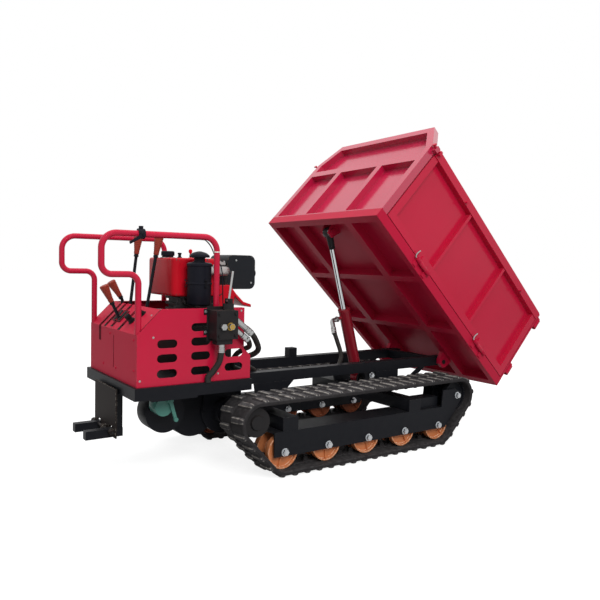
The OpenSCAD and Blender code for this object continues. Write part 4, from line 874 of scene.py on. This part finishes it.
def engine_dressing():
    """Head cover, injector pipe and the pump that shows below the tank."""
    bm = block(bmesh.new(), HEAD + UP * 0.922, AHEAD, UP, (0.050, 0.150, 0.014), 0.004, 3)
    block(bm, HEAD + UP * 0.931, AHEAD, UP, (0.030, 0.110, 0.008), 0.003, 3)
    piece("head_cover", bm, "chassis", ALUMINIUM, "cast_aluminium")
    marks = [(HEAD + Vector((x, y, HEAD_BOLT_Z)), UP, AHEAD) for x in (-HEAD_BOLT_X, HEAD_BOLT_X)
             for y in (-HEAD_BOLT_Y, HEAD_BOLT_Y)]
    bolts("head_bolts", ZINC, marks, corner=0.0055, head=0.005, washer=0.008)
    union = [(0, 0), (0.016, 0), (0.016, 0.016), (0.011, 0.018), (0.011, 0.034), (0, 0.034)]
    bm = block(bmesh.new(), PUMP + UP * PUMP_Z, AHEAD, UP, (0.050, 0.034, 0.070), 0.005, 3)
    lathe(bm, union, PUMP + UP * UNION_Z, UP, 28)
    block(bm, (-0.868, 0.030, 0.680), AHEAD, UP, (0.030, 0.110, 0.060), 0.005, 3)
    piece("injection_pump", bm, "chassis", CASTING_BLACK, "dark_iron")
    piece("injector_pipe", tube(bmesh.new(), spline(INJECTOR_ROUTE), INJECTOR_R, 10), "chassis",
          CASTING_BLACK, "dark_iron")


# cover, console and handles

LEVER_SHAFT = Vector((-1.010, 0, 0.560))
ROD_R, GRIP_L = 0.007, 0.102
# number, place across, lean in degrees, length, and bend in degrees at the knee below the grip
LEVERS = ((1, 0.160, 1.3, 0.288, -34.0), (2, 0.101, 6.6, 0.480, 0),
          (3, 0.027, -26.0, 0.288, 0), (4, -0.073, 9.8, 0.480, 0))
SLOPE_FOOT = Vector((-1.108, 0, 0.635))
SLOPE_OUT = Vector((-1, 0, 1)).normalized()
SLOPE_UP = Vector((1, 0, 1)).normalized()
# place across and lower end of each lever's slot, up the slope
SLOTS = ((0.160, 0.0), (0.101, 0.002), (0.027, 0.009), (-0.073, 0.002))
SLOT_TOP, SLOT_CLOSER, BOOT_GAP = 0.133, 0.0168, 0.019
LIP_Y, LIP_OFF, LIP_W, LIP_T = 0.0101, 0.0003, 0.0044, 0.0014
REAR_SLOT_X, REAR_SLOT_Z, REAR_SLOT_L = -1.1083, 0.602, 0.066
# length, width, thickness and height of the two layers of the short lever's boot
BOOT_LAYERS = ((0.062, 0.092, 0.003, 0.0022), (0.052, 0.080, 0.004, 0.0045))
BOOT_RISE, BOOT_Y = 0.0707, 0.027
# distance up the slope, place across and radius of the switch knobs
KNOBS = ((0.058, -0.131, 0.014), (0.103, -0.171, 0.011))
REAR_X, SIDE_Y = -1.1081, 0.2941
# screws by (y, z) on the rear face, by distance up the slope, and by (x, z) on each side
REAR_SCREWS = ((0.025, 0.612), (0.113, 0.470), (-0.255, 0.612), (-0.049, 0.472), (-0.262, 0.490))
SLOPE_SCREWS, SLOPE_SCREW_Y = (0.104, 0.030), -0.262
SIDE_SCREWS = ((-1.040, 0.623), (-1.095, 0.452), (-0.749, 0.457), (-0.640, 0.722))


def cover():
    """Cover panels, handles and console, and what is fixed to them."""
    for side in ("right", "left"):
        dress(f"cover_{side}", f"cover_panel_{side}", SHEET_EDGE, "chassis", RED, "red_paint")
        dress(f"handle_{side}", f"handle_tube_{side}", TUBE_EDGE, "chassis", RED, "red_paint")
    dress("console", "console_panel", SHEET_EDGE, "chassis", DULL_RED, "red_paint")
    dress("throttle_clamp", "throttle_mount", TUBE_EDGE, "chassis", NYLON, "black_plastic")
    dress("throttle_lever", "throttle_arm", TUBE_EDGE, "throttle_lever", NYLON, "black_plastic")
    levers()
    console_fittings()
    panel_screws()


def grip_profile():
    """Rubber grip that widens in small steps to its round end."""
    rings = [(0, 0.022), (0.0096, 0.022), (0.0112, 0.024), (0.0117, 0.028)]
    for k in range(7):
        h = 0.034 + k * 0.0082
        r = 0.0120 + 0.0068 * (k / 6)
        rings += [(r, h), (r - 0.0004, h + 0.0055), (r - 0.0004, h + 0.007)]
    return rings + [(0.0196, 0.093), (0.0196, 0.098), (0.0180, 0.1015), (0.014, GRIP_L),
                    (0, GRIP_L)]


def levers():
    """Steel rods on the cross shaft, one of them bent, with a lock nut below a tapered grip."""
    boss = [(0.0101, -0.009), (0.0168, -0.009), (0.018, -0.0078), (0.018, 0.0078),
            (0.0168, 0.009), (0.0101, 0.009), (0.0101, -0.009)]
    lock_nut = [(0.0065, 0.010), (0.0105, 0.010), (0.0112, 0.012), (0.0112, 0.019),
                (0.0105, 0.021), (0.0065, 0.021)]
    for i, y, tilt, length, bend in LEVERS:
        foot = LEVER_SHAFT + ACROSS * y
        rise, way = heading(math.radians(tilt)), heading(math.radians(tilt + bend))
        knee = foot + rise * (length - GRIP_L)
        bm = lathe(bmesh.new(), boss, foot, ACROSS, 40)
        tube(bm, spline([foot + rise * 0.0125, foot + rise * (length * 0.3), knee - rise * 0.012,
                         knee + way * 0.012, knee + way * 0.054]), ROD_R, 24)
        lathe(bm, lock_nut, knee, way, 6)
        piece(f"lever_rod_{i}", bm, f"lever_{i}", BLACK, "black_rod", f"lever_{i}")
        piece(f"lever_grip_{i}", lathe(bmesh.new(), grip_profile(), knee, way, 40), f"lever_{i}",
              GRIP, "black_rod", smooth=50)


def on_slope(rise, y, off=0.0):
    """A place on the console's slope, by its distance up the slope from the lower edge."""
    return SLOPE_FOOT + ACROSS * y + SLOPE_UP * rise + SLOPE_OUT * off


def strip(bm, at, along, out, length, width=LIP_W, thick=LIP_T):
    """A thin bar lying on a panel."""
    block(bm, at, along, out, (length, width, thick), 0.0004, 1)


def console_fittings():
    """Rubber lips of the lever slots, the short lever's boot, two switch knobs and the seams."""
    bm = bmesh.new()
    for length, width, thick, off in BOOT_LAYERS:
        half = (width - BOOT_GAP) / 2
        for side in (-1, 1):
            at = on_slope(BOOT_RISE, BOOT_Y + side * (BOOT_GAP + half) / 2, off)
            block(bm, at, SLOPE_UP, SLOPE_OUT, (length, half, thick), 0.001)
    for y, low in SLOTS:
        for side in (-1, 1):
            at = on_slope((low + SLOT_TOP) / 2, y + side * LIP_Y, LIP_OFF)
            strip(bm, at, SLOPE_UP, SLOPE_OUT, SLOT_TOP - low)
        if low:
            at = on_slope((low + SLOT_CLOSER) / 2, y, LIP_OFF)
            strip(bm, at, SLOPE_UP, SLOPE_OUT, SLOT_CLOSER - low, 0.0200)
    for side in (-1, 1):
        at = (REAR_SLOT_X, SLOTS[0][0] + side * LIP_Y, REAR_SLOT_Z)
        strip(bm, at, UP, BACK, REAR_SLOT_L)
    piece("slot_lips", bm, "chassis", SOFT_RUBBER, "hose_rubber")
    bm = bmesh.new()
    for rise, y, r in KNOBS:
        knob = [(0, 0), (r + 0.004, 0), (r + 0.004, 0.002), (r, 0.003), (r, 0.010),
                (r - 0.003, 0.013), (r - 0.003, 0.022), (r - 0.001, 0.024), (r - 0.001, 0.033),
                (r - 0.003, 0.036), (0, 0.037)]
        lathe(bm, knob, on_slope(rise, y, 0.0002), SLOPE_OUT, 28)
    piece("console_knobs", bm, "chassis", SOFT_RUBBER, "black_plastic")
    bm = bmesh.new()
    strip(bm, (-1.1085, -0.022, 0.540), UP, BACK, 0.140, 0.0016, 0.0010)
    strip(bm, on_slope(0.078, -0.2915, 0.0004), SLOPE_UP, SLOPE_OUT, 0.120, 0.0030, 0.0012)
    piece("panel_seams", bm, "chassis", PIT, "red_paint")


def screw(flange, head):
    """Pan head screw standing on its flange."""
    profile = [(0, -0.001), (flange, -0.001), (flange, 0.0007), (head, 0.0008),
               (head * 0.98, 0.0018), (head * 0.75, 0.0029), (head * 0.33, 0.0033), (0, 0.0034)]
    return outward(lathe(bmesh.new(), profile, (0, 0, 0), UP, 16))


def panel_screws():
    """Pan head screws round the cover panels: painted over on the rear face, plated elsewhere."""
    rear = [(Vector((REAR_X, y, z)), BACK, UP) for y, z in REAR_SCREWS]
    repeated("rear_screws", screw(0.0062, 0.0048), rear, "chassis", DULL_RED, "red_paint")
    plated = [(on_slope(rise, SLOPE_SCREW_Y, LIP_OFF), SLOPE_OUT, ACROSS) for rise in SLOPE_SCREWS]
    for side in (-1, 1):
        plated += [(Vector((x, side * SIDE_Y, z)), ACROSS * side, UP) for x, z in SIDE_SCREWS]
    repeated("side_screws", screw(0.0046, 0.0036), plated, "chassis", ZINC, "zinc_steel")


# hydraulics

RAM_RISE = heading(math.radians(-15.78))
RAM_END = Vector((0.275, 0, 0.310)) + RAM_RISE * 0.8215
BASE_R, UPPER_R, TANK_R, CABLE_R = 0.0125, 0.0115, 0.013, 0.0025
VALVE_FACE_Y, VALVE_BOLT_X, VALVE_BOLT_Z = -0.3752, (-0.788, -0.712), (0.624, 0.716)
SPOOL = (-0.722, -0.330, 0.7302)
TABS_Z = (0.637, 0.722)
PLUG = Vector((-0.737, -0.3812, 0.664))
TIE_R, TIE_W, TIE_T, TIE_POINTS = 0.0128, 0.0045, 0.0012, 28
RAIL_TIES, RAIL_TIE_Z, HOSE_APART = (-0.400, -0.180, 0.020), 0.391, 0.013
HANDLE_TIE, CABLE_ASIDE = Vector((-0.754, -0.278, 0.972)), 0.0056


def metres(points):
    """Points in metres, from millimetres."""
    return [Vector(p) / 1000 for p in points]


# the hoses' and the cable's routes, in the part's own millimetres
RUN_Y = -136
BASE_ROUTE = metres([
    (-644.8, -342, 649.8), (-609, -339, 622), (-572, -316, 582), (-553, -298, 550),
    (-558, -272, 527), (-585, -235, 505), (-580, -205, 478), (-550, -180, 462),
    (-515, -155, 446), (-480, RUN_Y - 1, 428), (-440, RUN_Y, 408), (-250, RUN_Y, 404),
    (0, RUN_Y, 404), (130, RUN_Y, 402), (200, -118, 392), (238, -96, 383),
    (255.4, -71.3, 379.3), (255.4, -44.3, 379.3)])
UPPER_ROUTE = metres([
    (-659.8, -336, 621.8), (-630, -338, 598), (-604, -306, 567), (-612, -278, 552),
    (-628, -245, 530), (-632, -215, 500), (-622, -190, 466), (-590, -170, 448),
    (-560, -146, 436), (-535, RUN_Y, 405), (-490, RUN_Y, 380), (-250, RUN_Y, 378),
    (-20, RUN_Y, 378), (30, -112, 380), (65, -95, 405), (88, -85, 445), (90, -72, 480),
    (86, -48, 530), (80, -30, 575), (84, -14, 605), (91.3, 0, 628), (114.4, 0, 634.6)])
TANK_ROUTE = metres([
    (-758, -338, 573.7), (-758, -338, 555), (-764, -330, 510), (-784, -317, 472),
    (-802, -307.3, 447), (-802, -307.3, 425.3)])
CABLE_ROUTE = metres([
    (-1075.7, -267, 1023), (-900, -267, 1023), (-815, -267, 1022), (-798, -266, 1017),
    (-776, -264, 995), (-757, -262, 960), (-743, -262, 935), (-729, -262, 918),
    (-721, -262, 893), (-717, -262, 851), (-716, -267, 760), (-716, -270, 735.3)])


def hydraulics():
    """Valve, ram, hoses and the throttle cable."""
    dress("valve_body", "valve_block", BEAM_EDGE, "chassis", CASTING_BLACK, "dark_iron")
    dress("valve_lever", "valve_stick", TUBE_EDGE, "valve_lever", ZINC, "zinc_steel")
    dress("valve_fittings", "valve_unions", TUBE_EDGE, "chassis", ZINC, "zinc_steel")
    dress("lift_barrel", "ram_barrel", BAR_EDGE, "lift_barrel", BARREL_RED, "red_paint")
    dress("lift_rod", "ram_rod", BAR_EDGE, "lift_rod", CHROME, "chrome_rod")
    ram_eye()
    hoses()
    hose_ends()
    ties()
    valve_details()


def ram_eye():
    """Forged eye screwed on the rod's end, with its neck and lock nut."""
    nut = [(0.0136, -0.092), (0.0170, -0.091), (0.0185, -0.088), (0.0185, -0.078),
           (0.0170, -0.075), (0.0136, -0.074)]
    neck = [(0.0136, -0.074), (0.0165, -0.074), (0.0175, -0.070), (0.0185, -0.035),
            (0.0195, -0.022), (0.0136, -0.010)]
    eye = [(0.010, -0.0222), (0.0255, -0.0222), (0.0263, -0.0208), (0.0263, 0.0208),
           (0.0255, 0.0222), (0.010, 0.0222)]
    bm = lathe(bmesh.new(), nut, RAM_END, RAM_RISE, 6)
    lathe(bm, neck, RAM_END, RAM_RISE, 32)
    lathe(bm, eye, RAM_END, ACROSS)
    piece("ram_eye", bm, "lift_rod", CASTING_BLACK, "dark_iron")


def swung(name, route, radius, node):
    """A hose routed from the frame to the swinging ram, baked in place on no body."""
    mesh = plain_mesh(name, tube(bmesh.new(), spline(route), radius), 40)
    made = finished(name, mesh, HOSE_RUBBER)
    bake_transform(made)
    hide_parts(node)


def hoses():
    """Two pressure hoses to the ram, the return hose to the tank and the throttle cable."""
    swung("hose_base_line", BASE_ROUTE, BASE_R, "hose_base")
    swung("hose_upper_line", UPPER_ROUTE, UPPER_R, "hose_upper")
    piece("hose_tank_line", tube(bmesh.new(), spline(TANK_ROUTE), TANK_R), "chassis", HOSE_RUBBER,
          "hose_rubber", "hose_tank", smooth=40)
    piece("throttle_line", tube(bmesh.new(), spline(CABLE_ROUTE, 10), CABLE_R, 12), "chassis",
          NYLON, "black_plastic", "throttle_cable", smooth=40)


def ferrule(bm, at, way, r, length):
    """Crimped hose end: a sleeve with two swaged grooves."""
    skirt, ridge, groove = r + 0.0004, r + 0.0028, r + 0.0020
    lathe(bm, [(skirt, 0), (ridge, 0.001), (ridge, length * 0.22), (groove, length * 0.26),
               (groove, length * 0.34), (ridge, length * 0.38), (ridge, length * 0.60),
               (groove, length * 0.64), (groove, length * 0.72), (ridge, length * 0.76),
               (ridge, length - 0.001), (skirt, length)], at, way, 32)


def hose_ends():
    """Ferrules at the valve and the tank, and the ram's own, with their union nuts."""
    bm = bmesh.new()
    for route, r, length in ((BASE_ROUTE, BASE_R, 0.038), (UPPER_ROUTE, UPPER_R, 0.038),
                             (TANK_ROUTE, TANK_R, 0.022)):
        ferrule(bm, route[0], route[1] - route[0], r, length)
    piece("hose_ends", bm, "chassis", ZINC, "zinc_steel")
    nut = [(0.0092, 0), (0.0155, 0), (0.0160, 0.001), (0.0160, 0.011), (0.0155, 0.012),
           (0.0092, 0.012)]
    bm = bmesh.new()
    ferrule(bm, BASE_ROUTE[-1], TO_RIGHT, BASE_R, 0.026)
    pipe = spline(UPPER_ROUTE)[-22:]
    tube(bm, pipe[2:], UPPER_R + 0.0008, 20)
    ferrule(bm, pipe[2], pipe[0] - pipe[2], UPPER_R, 0.036)
    way = UPPER_ROUTE[-2] - UPPER_ROUTE[-1]
    lathe(bm, nut, UPPER_ROUTE[-1] - way.normalized() * 0.014, way, 6)
    lathe(bm, nut, BASE_ROUTE[-1] + ACROSS * 0.013, TO_RIGHT, 6)
    piece("ram_hose_ends", bm, "lift_barrel", ZINC, "zinc_steel")


def tie(bm, mid, u, v, above, below):
    """A flat strap round two lines that lie side by side along v."""
    rim = []
    for a in round_turn(TIE_POINTS):
        shift = above if math.sin(a) > 0 else -below
        rim.append(mid + u * TIE_R * math.cos(a) + v * (TIE_R * math.sin(a) + shift))
    centre, way = sum(rim, Vector()) / TIE_POINTS, u.cross(v)
    section = ((-1, 0), (1, 0), (1, TIE_T), (-1, TIE_T))
    skin(bm, [[bm.verts.new(p + way * TIE_W * s / 2 + (p - centre).normalized() * t)
               for s, t in section] for p in rim], closed=True)


def ties():
    """Cable ties round the hoses along the rail, and one round the handle's front leg."""
    bm = bmesh.new()
    for x in RAIL_TIES:
        mid = Vector((x, RUN_Y / 1000, RAIL_TIE_Z))
        tie(bm, mid, ACROSS, UP, HOSE_APART, HOSE_APART)
        block(bm, mid + Vector((0, 0.004, 0.0275)), AHEAD, UP, (0.006, 0.006, 0.005), 0.001)
    tie(bm, HANDLE_TIE, AHEAD, ACROSS, CABLE_ASIDE, 0)
    piece("cable_ties", bm, "chassis", TIE, "black_plastic", smooth=50)


def valve_details():
    """Bolts through the valve's sections, the plated plug, the spool's dust boot and the tabs."""
    marks = [(Vector((x, VALVE_FACE_Y, z)), TO_RIGHT, UP) for x in VALVE_BOLT_X
             for z in VALVE_BOLT_Z]
    bolts("valve_bolts", CASTING_BLACK, marks, corner=0.0056, head=0.005, washer=0.0075)
    boot = [(0.012, 0), (0.0235, 0), (0.0235, 0.004), (0.020, 0.006), (0.0225, 0.009),
            (0.019, 0.012), (0.0215, 0.015), (0.018, 0.018), (0.0205, 0.021), (0.016, 0.025),
            (0.012, 0.025)]
    piece("spool_boot", lathe(bmesh.new(), boot, SPOOL, UP, 36), "chassis", HOSE_RUBBER,
          "hose_rubber")
    hexagon = [(0, 0), (0.0125, 0), (0.0137, 0.0012), (0.0137, 0.0128), (0.0125, 0.014),
               (0.006, 0.0145), (0, 0.0135)]
    seal = [(0.0115, -0.006), (0.0165, -0.006), (0.0165, -0.003), (0.0115, -0.003)]
    bm = lathe(bmesh.new(), hexagon, PLUG, TO_RIGHT, 6)
    lathe(bm, seal, PLUG, TO_RIGHT, 28)
    piece("valve_plug", bm, "chassis", YELLOW_ZINC, "zinc_steel", smooth=25)
    bm, marks = bmesh.new(), []
    for z in TABS_Z:
        block(bm, (-0.811, -0.2965, z), AHEAD, ACROSS, (0.018, 0.024, 0.004), 0.001)
        marks.append((Vector((-0.813, -0.2984, z)), TO_RIGHT, UP))
    piece("valve_tabs", bm, "chassis", BLACK, "black_paint")
    bolts("valve_tab_bolts", ZINC, marks, corner=0.0050, head=0.004, washer=0.0065)


# tipping bed, with u along its floor from the rear, y across and v up from its floor

TIP = math.radians(43.7)
HINGE, HINGE_U, HINGE_V = Vector((0.719, 0, 0.395)), 1.074, -0.035
BED_U = Vector((math.cos(TIP), 0, -math.sin(TIP)))
BED_V = Vector((math.sin(TIP), 0, math.cos(TIP)))
# where the hinge pins end along the bed, and a tail's route from there
PIN_ENDS, TAIL_R = (0.312, 0.924), 0.0034
TAIL = ((0.004, 0.481, 0.040), (-0.004, 0.481, 0.041), (-0.009, 0.482, 0.048),
        (-0.010, 0.484, 0.062), (-0.006, 0.486, 0.078))


def in_bed(u, y, v):
    """A place on the tipped bed, by u, y and v."""
    return HINGE + BED_U * (u - HINGE_U) + BED_V * (v - HINGE_V) + ACROSS * y


def bed():
    """Floor and headboard on the bed's body, the gates and their bolts on bodies of their own."""
    dress("bed_floor", "bed_base", BAR_EDGE, "bed", UNDER_RED, "red_paint")
    # the headboard's red is a deeper, glossier copy that carries a painted sheen
    dress("headboard", "bed_headboard", BAR_EDGE, "bed", SHEEN_RED, "red_paint")
    for side in ("right", "left"):
        dress(f"side_gate_{side}", f"gate_panel_{side}", BAR_EDGE, f"side_gate_{side}", RED,
              "red_paint")
        dress(f"latch_{side}", f"gate_bolt_{side}", NUT_EDGE, f"latch_{side}", RED, "red_paint")
    dress("front_gate", "front_panel", BAR_EDGE, "front_gate", RED, "red_paint")
    hinge_tails()


def hinge_tails():
    """Bent tails of the gates' hinge pins, plated wire."""
    bm = bmesh.new()
    for side in (-1, 1):
        for end in PIN_ENDS:
            route = [in_bed(end + u, side * y, v) for u, y, v in TAIL]
            tube(bm, spline(route, 5), TAIL_R, 12)
    piece("hinge_pin_tails", bm, "bed", ZINC, "zinc_steel")


# stage

FLOOR_HALF, FLOOR_GLOW, FLOOR_IN_MIRRORS, WORLD_FILL = 40, 0.84, 0.4, 0.5
LAMPS = (("key", Vector((-1.6, -4.8, 3.8)), Vector((0, 0, 0.6)), 3.0, 230),
         ("sky", Vector((0.2, 0.4, 5.2)), Vector((0, 0, 0.4)), 5.0, 210))


def stage():
    """White backdrop, a pale floor that keeps the shadow, and two soft lamps."""
    mesh = bpy.data.meshes.new("floor")
    corners = [(x * FLOOR_HALF, y * FLOOR_HALF, 0) for x, y in ((-1, -1), (1, -1), (1, 1), (-1, 1))]
    mesh.from_pydata(corners, [], [(0, 1, 2, 3)])
    mat = bpy.data.materials.new("pale_floor")
    tree = empty_tree(mat)
    path = add(tree, "ShaderNodeLightPath")
    matt = add(tree, "ShaderNodeBsdfDiffuse", {"Color": lin("#A2A2A1")})
    mirrored = add(tree, MATHS, {0: (path, "Is Glossy Ray"), 1: FLOOR_IN_MIRRORS},
                   operation="MULTIPLY")
    seen = add(tree, MATHS, {0: (path, "Is Camera Ray"), 1: (mirrored, 0)}, operation="MAXIMUM")
    white = add(tree, MATHS, {0: (seen, 0), 1: FLOOR_GLOW}, operation="MULTIPLY")
    glow = add(tree, "ShaderNodeEmission", {"Color": lin("#FFFFFF"), "Strength": (white, 0)})
    both = add(tree, "ShaderNodeAddShader", {0: (matt, 0), 1: (glow, 0)})
    add(tree, "ShaderNodeOutputMaterial", {"Surface": (both, 0)})
    finished("floor", mesh, mat)

    scene.world = bpy.data.worlds.new("studio")
    tree = empty_tree(scene.world)
    path = add(tree, "ShaderNodeLightPath")
    seen = add(tree, MATHS, {0: (path, "Is Camera Ray"), 1: (path, "Is Glossy Ray")},
               operation="MAXIMUM")
    seen = add(tree, MATHS, {0: (seen, 0), 1: (path, "Is Transmission Ray")}, operation="MAXIMUM")
    fill = add(tree, "ShaderNodeBackground", {"Color": lin("#F4F6FA"), "Strength": WORLD_FILL})
    white = add(tree, "ShaderNodeBackground", {"Color": lin("#FFFFFF"), "Strength": 1.0})
    both = add(tree, "ShaderNodeMixShader", {0: (seen, 0), 1: (fill, 0), 2: (white, 0)})
    add(tree, "ShaderNodeOutputWorld", {"Surface": (both, 0)})

    for name, at, aim, size, power in LAMPS:
        lamp = bpy.data.lights.new(name, "AREA")
        lamp.shape = "DISK"
        lamp.size = size
        lamp.energy = power
        holder = bpy.data.objects.new(name, lamp)
        holder.matrix_world = frame_at(at, at - aim)
        holder.visible_glossy = False
        scene.collection.objects.link(holder)
    scene.view_settings.view_transform = "Standard"


belts()
running_gear()
engine()
cover()
hydraulics()
bed()
stage()
camera()

bpy.context.view_layer.update()
